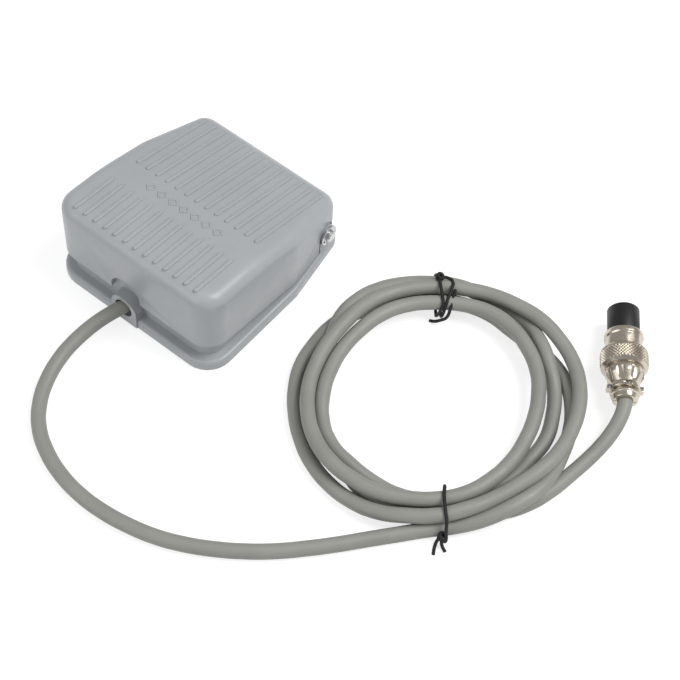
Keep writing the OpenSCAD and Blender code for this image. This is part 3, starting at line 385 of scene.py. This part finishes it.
# Cord: one line from the outlet, round the coil and up into the plug, in millimetres
cordLine = {
    "diameter": 5.8,
    "points": [
        (-3, -41.2, 8.6), (-4.6, -46.5, 8.4), (-6.1, -51.7, 7.9), (-7.2, -57, 7.2), (-7.9, -62.4, 6.3),
        (-8.1, -67.9, 5.5), (-7.8, -73.3, 4.6), (-5.1, -83.9, 3.4), (0.1, -93.5, 2.9),
        (7.6, -101.4, 2.9), (17.1, -107, 2.9), (27.5, -110.5, 2.9), (38.4, -112.1, 2.9),
        (49.3, -111.9, 2.9), (60.2, -110.2, 2.9), (70.8, -107.3, 2.9), (80.9, -102.9, 2.9),
        (90.4, -97.4, 2.9), (99.4, -91, 2.9), (107.7, -83.9, 2.9), (115.4, -76, 2.9),
        (122.7, -67.8, 2.9), (129.7, -59.3, 2.9), (136.8, -50.8, 2.9), (143.8, -42.4, 2.9),
        (151.4, -34.5, 3.5), (158.4, -26.6, 6.3), (163.6, -17.2, 8.7), (166.6, -6.7, 8.6),
        (166.3, 4.1, 6.6), (164.1, 14.5, 3.9), (160.8, 24.9, 2.9), (155.5, 34.6, 2.9), (148, 42.5, 2.9),
        (138.2, 47.4, 2.9), (127.3, 48.7, 2.9), (116.4, 49.7, 2.9), (104.9, 50.3, 2.9),
        (93.9, 47.2, 2.9), (84.3, 41.6, 2.9), (76.9, 33.5, 2.9), (70, 24.9, 2.9), (64.3, 15.5, 2.9),
        (61.4, 5, 2.9), (61.8, -6, 2.9), (64, -16.8, 2.9), (69.1, -26.5, 2.9), (76.1, -34.9, 2.9),
        (84.5, -42, 2.9), (94, -47.4, 2.9), (104.6, -50.4, 2.9), (115.5, -51.1, 3.8),
        (126.2, -49.5, 5.8), (135.8, -44.7, 7.5), (144.5, -38, 8.4), (151.3, -29.4, 9.1),
        (156.4, -19.7, 9.1), (160.4, -9.5, 10.1), (163.4, 0.9, 11.7), (163.8, 11.8, 10.3),
        (162.1, 22.5, 9), (158.6, 32.9, 8.8), (152.8, 42.2, 8.5), (144.7, 49.7, 8.4), (135, 54.6, 8.8),
        (124.3, 56.9, 9.9), (113.3, 57.1, 9), (102.6, 54.8, 8.8), (92.7, 50.2, 8.7), (83.5, 44.2, 8.4),
        (75.8, 36.3, 8.4), (70.2, 26.9, 8.7), (67.9, 16.4, 10.5), (67.7, 5.5, 11.7), (68.3, -5.5, 10.7),
        (70.7, -16.1, 9.7), (75.2, -26.1, 9.6), (81.9, -34.9, 10), (90.4, -41.7, 10.1),
        (100.6, -45.8, 10.2), (111.4, -46.1, 9), (122.2, -44.2, 8.7), (132.1, -39.3, 8.5),
        (140.7, -32.5, 8.5), (147.4, -23.8, 8.7), (151, -13.5, 8.7), (152.2, -2.6, 8.5), (151, 8.3, 8.5),
        (148, 18.9, 8.5), (143.1, 28.7, 8.5), (136.3, 37.3, 8.5), (127.3, 43.6, 8.5), (117.1, 47.5, 8.5),
        (106.1, 47.6, 8.5), (96, 43.4, 8.5), (87.1, 37, 8.5), (79.7, 29, 8.5), (74.9, 19.1, 8.5),
        (73.1, 8.3, 8.4), (73.3, -2.7, 8.3), (75.8, -13.4, 8.5), (80.2, -23.5, 8.5), (86.7, -32.2, 7.1),
        (95.7, -38.3, 6.4), (106.4, -40.4, 6), (117.1, -39.8, 3.8), (127.8, -37.5, 2.9),
        (137.3, -32.1, 2.9), (144.6, -23.9, 2.9), (150.3, -15, 3), (155, -5.1, 3.2), (155.8, 5.7, 3),
        (155.5, 16.7, 3.2), (151.7, 27, 3.2), (146, 36.3, 3.9), (138.1, 43.5, 6.6), (129.3, 49.9, 7.3),
        (119.9, 54.7, 4.6), (109.1, 56, 3.1), (98.2, 55.3, 3.7), (87.7, 52.4, 4.3), (78.3, 46.7, 3.7),
        (70.3, 39.2, 3.6), (64.9, 29.8, 4.7), (63.2, 19.3, 7.4), (63.4, 8.4, 8), (66.4, -1.9, 5.5),
        (70.2, -12, 3.3), (75.9, -21.4, 2.9), (83.6, -30.2, 2.9), (93.6, -36, 2.9),
        (103.9, -40.5, 2.9), (114, -44.5, 2.9), (125, -44.4, 2.9), (135.2, -40.6, 2.9), (144, -34, 2.9),
        (151.9, -26.3, 2.9), (160.1, -19.1, 2.9), (165.9, -9.8, 2.9), (169.3, 0.6, 2.9),
        (171.2, 11.5, 2.9), (172.8, 22.3, 3.7), (173.4, 27.6, 4.9), (173.6, 33, 6.3), (173.2, 38, 7.7),
        (172.2, 42.6, 8.8), (170.5, 46.7, 9.4), (166.3, 52.9, 9.4),
    ],
}


def makeCord():
    bpy.ops.curve.primitive_bezier_curve_add()
    cord = startPiece("cordJacket")
    openCurve = cord.data
    spline = openCurve.splines[0]
    spline.bezier_points.add(len(cordLine["points"]) - 2)
    for knot, place in zip(spline.bezier_points, cordLine["points"]):
        knot.co = [v * mm for v in place]
        knot.handle_left_type = "AUTO"
        knot.handle_right_type = "AUTO"
    openCurve.dimensions = "3D"
    openCurve.resolution_u = 6
    openCurve.bevel_depth = cordLine["diameter"] / 2 * mm
    openCurve.bevel_resolution = 6
    openCurve.use_fill_caps = True
    dress(cord, "housing", "cord_jacket", finishes["cord_jacket"], "cord_lead", "cord_coil", "cord_tail")
    return cord


cord = makeCord()
print("cord laid")


# Pedal cover
coverLook = {
    "taperY": 9, "rearHalf": 34.5, "creaseY": -15, "creaseZ": 41.3, "frontFall": 4.9, "rearFall": 13,
    "creaseBlend": 6, "frontCorner": 9.8, "rearCorner": 5.6, "taperBlend": 1.6, "topRound": 5.5, "wall": 2.2,
    "skirtFront": 14.9, "skirtRear": 6.2, "skirtLevelY": 28,
    "notch": (-3, 16.54, 7.3), "axle": (33, 13.5), "cheek": (30.4, 33.0), "pocket": 5.0,
}
ribLook = {"count": 13, "pitch": 5, "width": 1.5, "height": 0.7, "front": (-38.4, 21), "rear": (-4, 41)}
lozengeLook = {"count": 7, "pitch": 5.6, "y": -10.4, "half": 2.4, "line": 0.8, "height": 0.3}

# Posts under the cover: place, radius and lowest point
seatLook = {"spring": (17, -22, 6.8, 37.5), "pilot": (17, -22, 3.6, 30.5), "peg": (28, -30, 4, 30)}


def coverTop(y):  # height of the top surface
    fall = coverLook["frontFall"] if y < coverLook["creaseY"] else coverLook["rearFall"]
    return coverLook["creaseZ"] - (y - coverLook["creaseY"]) * math.tan(math.radians(fall))


def makeCoverShell():
    low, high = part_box("cover")
    half, frontY, rearY = high.x / mm, low.y / mm, high.y / mm
    creaseY, creaseZ, taperY = coverLook["creaseY"], coverLook["creaseZ"], coverLook["taperY"]
    cover = boxPiece("pedalCover", (-half, frontY, -8), (half, rearY, 60))
    openEdit(cover)
    bpy.ops.mesh.bisect(plane_co=(0, taperY * mm, 0), plane_no=(0, 1, 0))
    pickVerts(cover, lambda p: p.y > rearY - 0.1)
    bpy.ops.transform.resize(value=(coverLook["rearHalf"] / half, 1, 1), center_override=(0, 0, 0))
    for fall in (coverLook["frontFall"], coverLook["rearFall"]):
        turn = math.radians(fall)
        cutAway((0, creaseY, creaseZ), (0, math.sin(turn), math.cos(turn)))

    def upright(a, b):
        return abs(a.x - b.x) < 0.01 and abs(a.y - b.y) < 0.01 and abs(a.z - b.z) > 5

    pickEdges(cover, lambda a, b: upright(a, b) and a.y < frontY + 0.1)
    bpy.ops.mesh.bevel(offset=coverLook["frontCorner"] * mm, segments=10, affect="EDGES")
    pickEdges(cover, lambda a, b: upright(a, b) and a.y > rearY - 0.1)
    bpy.ops.mesh.bevel(offset=coverLook["rearCorner"] * mm, segments=8, affect="EDGES")
    pickEdges(cover, lambda a, b: upright(a, b) and abs(a.y - taperY) < 0.1)
    bpy.ops.mesh.bevel(offset=coverLook["taperBlend"] * mm, segments=3, affect="EDGES")
    pickEdges(cover, lambda a, b: abs(a.y - creaseY) < 0.05 and abs(b.y - creaseY) < 0.05 and abs(a.x - b.x) > 40)
    bpy.ops.mesh.bevel(offset=coverLook["creaseBlend"] * mm, segments=6, affect="EDGES")
    pickFaces(cover, lambda c, n: n.z > 0.9 and c.z > 20)
    bpy.ops.mesh.region_to_loop()
    bpy.ops.mesh.bevel(offset=coverLook["topRound"] * mm, segments=10, affect="EDGES", clamp_overlap=False)
    pickFaces(cover, lambda c, n: n.z < -0.9)
    bpy.ops.mesh.delete(type="FACE")
    slope = (coverLook["skirtFront"] - coverLook["skirtRear"]) / (coverLook["skirtLevelY"] - frontY)
    for place, direction in (((0, coverLook["skirtLevelY"], coverLook["skirtRear"]), (0, -slope, -1)),
                             ((0, 0, coverLook["skirtRear"]), (0, 0, -1))):
        bpy.ops.mesh.select_all(action="SELECT")
        bpy.ops.mesh.bisect(plane_co=[v * mm for v in place], plane_no=direction, clear_outer=True)
    closeEdit()
    applyModifier(cover, "SOLIDIFY", thickness=coverLook["wall"] * mm, offset=-1, use_even_offset=True)
    return cover


def rodPiece(name, radius, place, along, length, sides=72):
    turn = {"x": (0, math.radians(90), 0), "y": (math.radians(90), 0, 0), "z": (0, 0, 0)}[along]
    bpy.ops.mesh.primitive_cylinder_add(vertices=sides, radius=radius * mm, depth=length * mm,
                                        location=[v * mm for v in place], rotation=turn)
    return startPiece(name)


def cutCover(cover):
    notchX, notchZ, notchR = coverLook["notch"]
    axleY, axleZ = coverLook["axle"]
    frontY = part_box("cover")[0].y / mm
    cutWith(cover, rodPiece("notchRod", notchR, (notchX, frontY, notchZ), "y", 16))
    cutWith(cover, boxPiece("notchBox", (notchX - notchR, frontY - 8, 0), (notchX + notchR, frontY + 8, notchZ)))
    cheekIn, cheekOut = coverLook["cheek"]
    for side in (-1, 1):
        lowX, highX = sorted((side * cheekIn, side * (cheekOut + 1.6)))
        cutWith(cover, boxPiece("cheekBlock", (lowX, 26.5, 8), (highX, 37.4, 24)), "UNION")
        pocket = coverLook["pocket"]
        cutWith(cover, rodPiece("pocketRod", pocket, (side * (cheekOut + 5), axleY, axleZ), "x", 10))
        lowX, highX = sorted((side * cheekOut, side * (cheekOut + 10)))
        cutWith(cover, boxPiece("pocketBox", (lowX, axleY - pocket - 0.2, 0), (highX, axleY + pocket + 0.2, axleZ)))
    cutWith(cover, rodPiece("hingeHole", 2.55, (0, axleY, axleZ), "x", 90, 48))


def makeRib(name, y, length, fall):  # a bar with round ends and a soft top edge, laid along the slope
    width, height = ribLook["width"], ribLook["height"]
    rib = boxPiece(name, (-width / 2, 0, -0.5), (width / 2, length / math.cos(math.radians(fall)), height))
    openEdit(rib, "EDGE")
    pickEdges(rib, lambda a, b: abs(a.z - b.z) > 0.5)
    bpy.ops.mesh.bevel(offset=width * 0.49 * mm, segments=5, affect="EDGES")
    pickFaces(rib, lambda c, n: n.z > 0.9)
    bpy.ops.mesh.region_to_loop()
    bpy.ops.mesh.bevel(offset=0.3 * mm, segments=3, affect="EDGES")
    pickFaces(rib, lambda c, n: n.z < -0.9)
    bpy.ops.mesh.delete(type="FACE")
    closeEdit()
    rib.rotation_euler = (-math.radians(fall), 0, 0)
    rib.location = (0, y * mm, coverTop(y) * mm)
    makeActive(rib)
    bpy.ops.object.transform_apply(location=True, rotation=True, scale=True)
    return rib


def makeLozenge():
    look = lozengeLook
    bpy.ops.mesh.primitive_circle_add(vertices=4, radius=look["half"] * mm, fill_type="NGON")
    lozenge = startPiece("lozenge")
    openEdit(lozenge, "FACE")
    bpy.ops.mesh.inset(thickness=look["line"] * 0.7071 * mm)
    bpy.ops.mesh.delete(type="FACE")
    bpy.ops.mesh.select_all(action="SELECT")
    bpy.ops.mesh.extrude_region_move(TRANSFORM_OT_translate={"value": (0, 0, (look["height"] + 0.3) * mm)})
    bpy.ops.mesh.select_all(action="SELECT")
    bpy.ops.mesh.normals_make_consistent(inside=False)
    bpy.ops.transform.translate(value=(0, 0, -0.3 * mm))
    closeEdit()
    softenEdges(lozenge, 0.15, 50, 2)
    lozenge.rotation_euler = (-math.radians(coverLook["rearFall"]), 0, 0)
    lozenge.location = (0, look["y"] * mm, coverTop(look["y"]) * mm)
    makeActive(lozenge)
    bpy.ops.object.transform_apply(location=True, rotation=True, scale=True)
    return lozenge


def makeCover():
    cover = makeCoverShell()
    cutCover(cover)
    softenEdges(cover, 0.35, 40)
    extras = []
    for (y, length), fall in ((ribLook["front"], coverLook["frontFall"]), (ribLook["rear"], coverLook["rearFall"])):
        rib = makeRib("gripRib", y, length, fall)
        for number in range(ribLook["count"]):
            shift = (number - (ribLook["count"] - 1) / 2) * ribLook["pitch"]
            extras.append(duplicateOf(rib, (shift, 0, 0)))
        bpy.data.objects.remove(rib)
    lozenge = makeLozenge()
    for number in range(lozengeLook["count"]):
        shift = (number - (lozengeLook["count"] - 1) / 2) * lozengeLook["pitch"]
        extras.append(duplicateOf(lozenge, (shift, 0, 0)))
    bpy.data.objects.remove(lozenge)
    for key, (x, y, radius, low) in seatLook.items():
        for side in (-1, 1):
            high = coverTop(y) - 1
            post = turnedPiece(key + "Post", [(0.01, low), (radius - 0.4, low), (radius, low + 0.4),
                                              (radius, high), (0.01, high)], 48)
            extras.append(duplicateOf(post, (side * x, y, 0)))
            bpy.data.objects.remove(post)
    joinAll(cover, extras)
    smooth(cover, 35)
    return dress(cover, "pedal", "grey_paint", finishes["grey_paint"], "cover")


cover = makeCover()
print("cover made,", len(cover.data.polygons), "faces")


# Base casting
baseLook = {"rimTop": 5.2, "rimRound": 1.5, "outletStep": ((-9.8, -36.4, 12.2), (3.8, -30, 20))}


def makeBase():
    base = copyOfNode("base", "baseCasting")
    rimTop = baseLook["rimTop"]
    openEdit(base, "EDGE")

    def outerRim(a, b):
        if abs(a.z - rimTop) > 0.02 or abs(b.z - rimTop) > 0.02:
            return False
        return all(onRim(p) for p in (a, b))

    def onRim(p):
        half = 41 if p.y < 9 else 41 - (p.y - 9) * 0.1618
        return abs(p.x) > half - 0.05 or p.y < -42.95 or p.y > 42.95 or inCorner(p)

    def inCorner(p):
        x, y = abs(p.x), p.y
        front = y < -32 and x > 30 and abs(math.hypot(x - 30, y + 32) - 11) < 0.08
        rear = y > 36 and x > 28.5
        return front or rear

    pickEdges(base, outerRim)
    bpy.ops.mesh.bevel(offset=baseLook["rimRound"] * mm, segments=5, affect="EDGES")
    closeEdit()
    cutWith(base, boxPiece("outletStep", *baseLook["outletStep"]))
    smooth(base, 35)
    return dress(base, "housing", "grey_paint", finishes["grey_paint"], "base")


base = makeBase()
print("base made,", len(base.data.polygons), "faces")


# Plug, turned about its own axis and then laid in its place; distances run from the cord's end
plugLook = {"end": (170.5, 46.7, 9.4), "turn": 34, "sides": 96}
ringLook = {"start": 14, "length": 8.6, "radius": 9.4, "chamfer": 1.2, "lip": 7.16, "bore": 7.16,
            "teeth": 44, "rows": 9, "depth": 0.5}
bodyLook = {"flats": 8, "start": 4.2, "collarEnd": 6.3, "collarRadius": 6.1, "coneStart": 7.1, "coneRadius": 5.2,
            "coneEnd": 10.3, "radius": 7.35, "end": 14, "bore": 2.95, "earReach": 7.1, "earHalf": 1.6}
saddleLook = {"radius": 4.9, "length": 4.1, "ridge": 5.6, "ridgeStart": 2.1, "ridgeEnd": 3.1, "gap": 0.15}
barrelLook = {"radius": 7.1, "start": 13.5, "end": 30.7, "bead": 7.65, "beadLength": 2.8}
insertLook = {"radius": 6.35, "start": 27, "end": 42.5, "contactRing": 3.4}
plugPlace = (Matrix.Translation(Vector(plugLook["end"]) * mm) @ Matrix.Rotation(math.radians(plugLook["turn"]), 4, "Z")
             @ Matrix.Rotation(math.radians(-90), 4, "X"))


def layOnPlug(piece):
    piece.matrix_world = plugPlace
    makeActive(piece)
    bpy.ops.object.transform_apply(location=True, rotation=True, scale=True)
    return piece


def makeRing():
    look = ringLook
    low, high = look["start"], look["start"] + look["length"]
    radius, chamfer = look["radius"], look["chamfer"]
    first, last = low + chamfer, high - chamfer
    step = (last - first) / look["rows"]
    profile = [(look["lip"], low), (radius - 1.4, low), (radius - 0.25, first - 0.25)]
    profile += [(radius - look["depth"], first + step * row) for row in range(look["rows"] + 1)]
    profile += [(radius - 0.25, last + 0.2), (radius - 1, high), (look["bore"] + 0.4, high), (look["lip"], high),
                (look["lip"], low)]
    sides = look["teeth"] * 2
    ring = turnedPiece("couplingRing", profile, sides)
    openEdit(ring)

    def tooth(p):
        row = (p.z - first) / step
        if abs(row - round(row)) > 0.02 or not 0 < round(row) < look["rows"] or math.hypot(p.x, p.y) < radius - 1:
            return False
        spoke = round(math.atan2(p.y, p.x) / (2 * math.pi) * sides)
        return (spoke + round(row)) % 2 == 0

    pickVerts(ring, tooth)
    grow = radius / (radius - look["depth"])
    bpy.ops.transform.resize(value=(grow, grow, 1), center_override=(0, 0, 0))
    pickFaces(ring, lambda c, n: first < c.z < last and math.hypot(c.x, c.y) > radius - 1)
    bpy.ops.mesh.quads_convert_to_tris(quad_method="SHORTEST_DIAGONAL", ngon_method="BEAUTY")
    closeEdit()
    smooth(layOnPlug(ring), 12)
    return dress(ring, "ring", "nickel", finishes["nickel"], "coupling_ring")


def makeBody():
    look = bodyLook
    start, end, radius, bore = look["start"], look["end"], look["radius"], look["bore"]
    collar, collarEnd = look["collarRadius"], look["collarEnd"]
    body = turnedPiece("plugBody", [
        (bore, start), (collar - 0.3, start), (collar, start + 0.3), (collar, collarEnd - 0.3),
        (look["coneRadius"], collarEnd), (look["coneRadius"], look["coneStart"]), (radius - 0.15, look["coneEnd"]),
        (radius, look["coneEnd"] + 0.3), (radius, end - 0.5), (radius - 0.2, end - 0.4), (radius - 0.2, end),
        (6.5, end), (6.5, look["coneEnd"] + 1), (bore, look["coneEnd"] - 1.5), (bore, start)], plugLook["sides"])
    reach, half = look["earReach"], look["earHalf"]
    cutWith(body, boxPiece("clampEars", (-reach, -half, start + 0.2), (reach, half, collarEnd - 0.2)), "UNION")
    cutWith(body, rodPiece("cordBore", bore, (0, 0, start), "z", 8, 48))
    for number in range(look["flats"]):
        turn = 2 * math.pi * (number + 0.5) / look["flats"]
        flute = radius + 1.45
        bpy.ops.mesh.primitive_cylinder_add(vertices=40, radius=2.7 * mm, depth=4.6 * mm, location=(
            flute * math.cos(turn) * mm, flute * math.sin(turn) * mm, (look["coneStart"] + 2.2) * mm),
            rotation=(0, math.radians(18), turn))
        cutWith(body, startPiece("flute"))
    cutWith(body, boxPiece("screwRecess", (-1.6, -8, start + 0.3), (1.6, -look["coneRadius"], collarEnd - 0.3)))
    softenEdges(body, 0.14, 30)
    smooth(layOnPlug(body), 30)
    return dress(body, "housing", "nickel", finishes["nickel"], "plug_body")


def makeSaddle():  # two half shells that grip the cord, with a ridge round them
    look, bore = saddleLook, bodyLook["bore"]
    radius, length = look["radius"], look["length"]
    saddle = turnedPiece("plugSaddle", [
        (bore, 0), (radius - 0.3, 0), (radius, 0.3), (radius, look["ridgeStart"]),
        (look["ridge"], look["ridgeStart"] + 0.2), (look["ridge"], look["ridgeEnd"] - 0.2),
        (radius, look["ridgeEnd"]), (radius, length), (bore, length), (bore, 0)], plugLook["sides"])
    gap = look["gap"]
    cutWith(saddle, boxPiece("saddleGap", (-9, -gap, -1), (9, gap, length + 1)))
    softenEdges(saddle, 0.14, 30)
    smooth(layOnPlug(saddle), 30)
    return dress(saddle, "housing", "nickel", finishes["nickel"], "plug_saddle")


def makeSlottedScrew(name, radius, place, length):  # a screw end that points up from the plug, with a slot
    x, top, along = place
    screw = rodPiece(name, radius, (x, -top + length / 2, along), "y", length, 32)
    cutWith(screw, boxPiece("screwSlot", (x - 0.16, -top - 1, along - radius - 1), (x + 0.16, -top + 0.45,
                                                                                  along + radius + 1)))
    softenEdges(screw, 0.1, 40)
    smooth(screw, 35)
    return screw


def makePlugScrews():
    middle = (bodyLook["start"] + bodyLook["collarEnd"]) / 2
    top = bodyLook["earHalf"] + 0.6
    screws = [makeSlottedScrew("saddleScrews", 0.85, (side * 6.1, top, middle), 2.2) for side in (-1, 1)]
    pair = layOnPlug(joinAll(screws[0], screws[1:]))
    dress(pair, "housing", "axle_steel", finishes["spring_steel"], "plug_saddle_screws")
    small = layOnPlug(makeSlottedScrew("setScrew", 0.8, (0, bodyLook["coneRadius"] + 0.5, middle), 1.8))
    dress(small, "housing", "axle_steel", finishes["spring_steel"], "plug_set_screw")
    return [pair, small]


def makeBarrel():
    look = barrelLook
    radius, end = look["radius"], look["end"]
    barrel = turnedPiece("plugBarrel", [
        (5.9, look["start"]), (radius, look["start"]), (radius, end - look["beadLength"]),
        (look["bead"], end - look["beadLength"] + 0.5), (look["bead"], end - 0.6),
        (look["bead"] - 0.3, end - 0.15), (look["bead"] - 0.6, end), (5.9, end), (5.9, look["start"])],
        plugLook["sides"])
    softenEdges(barrel, 0.15, 30)
    smooth(layOnPlug(barrel), 30)
    return dress(barrel, "housing", "nickel", finishes["nickel"], "plug_barrel")


def makeInsert():
    look = insertLook
    radius, end = look["radius"], look["end"]
    insert = turnedPiece("plugInsert", [
        (0.01, look["start"]), (5.85, look["start"]), (5.85, barrelLook["end"]), (radius, barrelLook["end"]),
        (radius, end - 0.5), (radius - 0.5, end), (0.01, end)], plugLook["sides"])
    for number in range(4):
        turn = math.radians(90 * number + 45)
        place = (look["contactRing"] * math.cos(turn), look["contactRing"] * math.sin(turn), end)
        cutWith(insert, rodPiece("socketBore", 0.8, place, "z", 9, 24))
    softenEdges(insert, 0.12, 30)
    smooth(layOnPlug(insert), 30)
    return dress(insert, "housing", "plug_insulator", finishes["plug_insulator"], "plug_insert")


ring = makeRing()
body = makeBody()
barrel = makeBarrel()
insert = makeInsert()
saddle = makeSaddle()
plugScrews = makePlugScrews()
print("plug made")


# String ties round the coil, each of a few strands and a knot, in millimetres
tieLook = {"radius": 0.65, "knotRadius": 1.1, "knotTurns": 3}
topStrands = (
    [(83, 46, 12), (84.6, 44.2, 11.9), (88.5, 40.2, 11.9), (91.3, 37.2, 10.9), (91.4, 35.6, 8), (90.2, 35.6, 4),
     (88, 38.5, 0.5), (82, 46, 0.5), (78.6, 50.2, 1.6), (78.2, 50.9, 4.4), (80.6, 49.2, 7.6), (82.3, 47, 11)],
    [(83.4, 46.6, 12), (85, 48.4, 11.4), (87.6, 48.4, 11.4), (89.8, 44.8, 11.8), (91.3, 40.4, 11.4),
     (92.4, 37.4, 9.8), (92.4, 36.4, 6.5), (90, 39, 0.6), (84, 46.8, 0.6), (80.8, 51.2, 2), (80.9, 51.6, 5),
     (82.2, 49.4, 8.4)],
    [(90.6, 46.4, 10), (92.4, 42.4, 10.8), (94, 38.8, 9.4), (94.4, 36.2, 6), (92.4, 34.8, 3.6), (90, 34, 1.6),
     (88.4, 34, 0.6)],
)
bottomStrands = (
    [(139.6, -25.9, 3), (139.4, -26.2, 8), (140.6, -28.6, 11.2), (143.2, -32.3, 12), (146.6, -36.2, 12.1),
     (149, -38.4, 10), (150.8, -40.6, 6.6), (151.9, -41.6, 3.4), (150.6, -40.8, 0.6), (145, -34, 0.5),
     (141, -28, 0.5), (139.6, -25.9, 2.9)],
    [(150, -41.6, 4.4), (149.2, -43.2, 2.2), (149.7, -45.2, 0.6), (151.1, -47.8, 0.6)],
    [(150, -41.8, 4), (151.6, -43.4, 1.8), (153.8, -44.2, 0.6)],
)


def makeStrand(places):
    bpy.ops.curve.primitive_bezier_curve_add()
    strand = startPiece("tieStrand")
    spline = strand.data.splines[0]
    spline.bezier_points.add(len(places) - 2)
    for knot, place in zip(spline.bezier_points, places):
        knot.co = [v * mm for v in place]
        knot.handle_left_type = "AUTO"
        knot.handle_right_type = "AUTO"
    strand.data.dimensions = "3D"
    strand.data.resolution_u = 5
    strand.data.bevel_depth = tieLook["radius"] * mm
    strand.data.bevel_resolution = 3
    strand.data.use_fill_caps = True
    return strand


def makeTie(name, strands, knotPlace, node):
    turns, radius = tieLook["knotTurns"], tieLook["knotRadius"]
    knot = []
    for step in range(turns * 8 + 1):
        turn = math.pi * step / 4
        x, y, z = knotPlace
        tilt = 0.7 * math.sin(turn * 0.5)
        knot.append((x + radius * math.cos(turn), y + radius * math.sin(turn) * 0.8 + tilt * 0.5, z + tilt))
    pieces = [makeStrand(places) for places in (*strands, knot)]
    tie = joinAll(pieces[0], pieces[1:])
    tie.name = name
    tie.data.name = name
    bpy.ops.object.convert(target="MESH")
    smooth(tie, 60)
    return dress(tie, "housing", "tie_string", finishes["tie_string"], node)


topTie = makeTie("tieTop", topStrands, (83, 46.3, 12.3), "tie_top")
bottomTie = makeTie("tieBottom", bottomStrands, (150.2, -41.9, 4.6), "tie_bottom")
print("ties made")


# Every other solid keeps its shape and gets its finish
slotOf = {part["node"]: part["material_slot"] for part in frame["record"]["subparts"]}


def finishOthers():
    for name, node in nodes.items():
        node.data.materials.clear()
        node.data.materials.append(finishes[slotOf[name]])
        makeActive(node)
        bpy.ops.object.shade_smooth_by_angle(angle=math.radians(30))


finishOthers()
print("other solids finished")


# Floor and light
studioLook = {"floorColour": (0.5, 0.5, 0.5), "floorGlow": 0.72, "worldLight": 0.42}


def makeStudio():
    bpy.ops.mesh.primitive_plane_add(size=6, location=(0, 0, 0))
    floor = startPiece("studioFloor")
    material = bpy.data.materials.new("whiteFloor")
    material.use_nodes = True
    tree = material.node_tree
    shader = tree.nodes["Principled BSDF"]
    shader.inputs["Base Color"].default_value = (*studioLook["floorColour"], 1)
    shader.inputs["Roughness"].default_value = 0.9
    shader.inputs["Specular IOR Level"].default_value = 0.1
    rays = tree.nodes.new("ShaderNodeLightPath")
    first = tree.nodes.new("ShaderNodeMath")
    second = tree.nodes.new("ShaderNodeMath")
    glow = tree.nodes.new("ShaderNodeMath")
    first.operation = second.operation = "MAXIMUM"
    glow.operation = "MULTIPLY"
    glow.inputs[1].default_value = studioLook["floorGlow"]
    tree.links.new(rays.outputs["Is Camera Ray"], first.inputs[0])
    tree.links.new(rays.outputs["Is Glossy Ray"], first.inputs[1])
    tree.links.new(first.outputs[0], second.inputs[0])
    tree.links.new(rays.outputs["Is Transmission Ray"], second.inputs[1])
    tree.links.new(second.outputs[0], glow.inputs[0])
    emission = tree.nodes.new("ShaderNodeEmission")
    tree.links.new(glow.outputs[0], emission.inputs["Strength"])
    total = tree.nodes.new("ShaderNodeAddShader")
    tree.links.new(shader.outputs[0], total.inputs[0])
    tree.links.new(emission.outputs[0], total.inputs[1])
    tree.links.new(total.outputs[0], tree.nodes["Material Output"].inputs["Surface"])
    floor.data.materials.append(material)
    world = bpy.data.worlds.new("studioWorld")
    bpy.context.scene.world = world
    world.use_nodes = True
    nodesOfWorld = world.node_tree.nodes
    background = nodesOfWorld["Background"]
    background.inputs["Color"].default_value = (1, 1, 1, 1)
    rays = nodesOfWorld.new("ShaderNodeLightPath")
    spread = nodesOfWorld.new("ShaderNodeMapRange")
    spread.inputs["To Min"].default_value = studioLook["worldLight"]
    spread.inputs["To Max"].default_value = 1.0
    world.node_tree.links.new(rays.outputs["Is Camera Ray"], spread.inputs["Value"])
    world.node_tree.links.new(spread.outputs["Result"], background.inputs["Strength"])


lampLooks = (
    {"name": "keySoftbox", "place": (0.55, 0.35, 0.95), "aim": (0.03, 0, 0.02), "size": 0.6, "power": 7.8},
    {"name": "fillSoftbox", "place": (-0.25, -0.95, 0.5), "aim": (0.03, 0, 0.02), "size": 0.8, "power": 3.2},
)


def makeLamps():
    for look in lampLooks:
        bpy.ops.object.light_add(type="AREA", location=look["place"])
        lamp = bpy.context.view_layer.objects.active
        lamp.name = look["name"]
        lamp.data.energy = look["power"]
        lamp.data.size = look["size"]
        lamp.rotation_euler = (Vector(look["aim"]) - Vector(look["place"])).to_track_quat("-Z", "Y").to_euler()


makeStudio()
makeLamps()
bpy.context.scene.view_settings.view_transform = "Standard"
print("studio set")
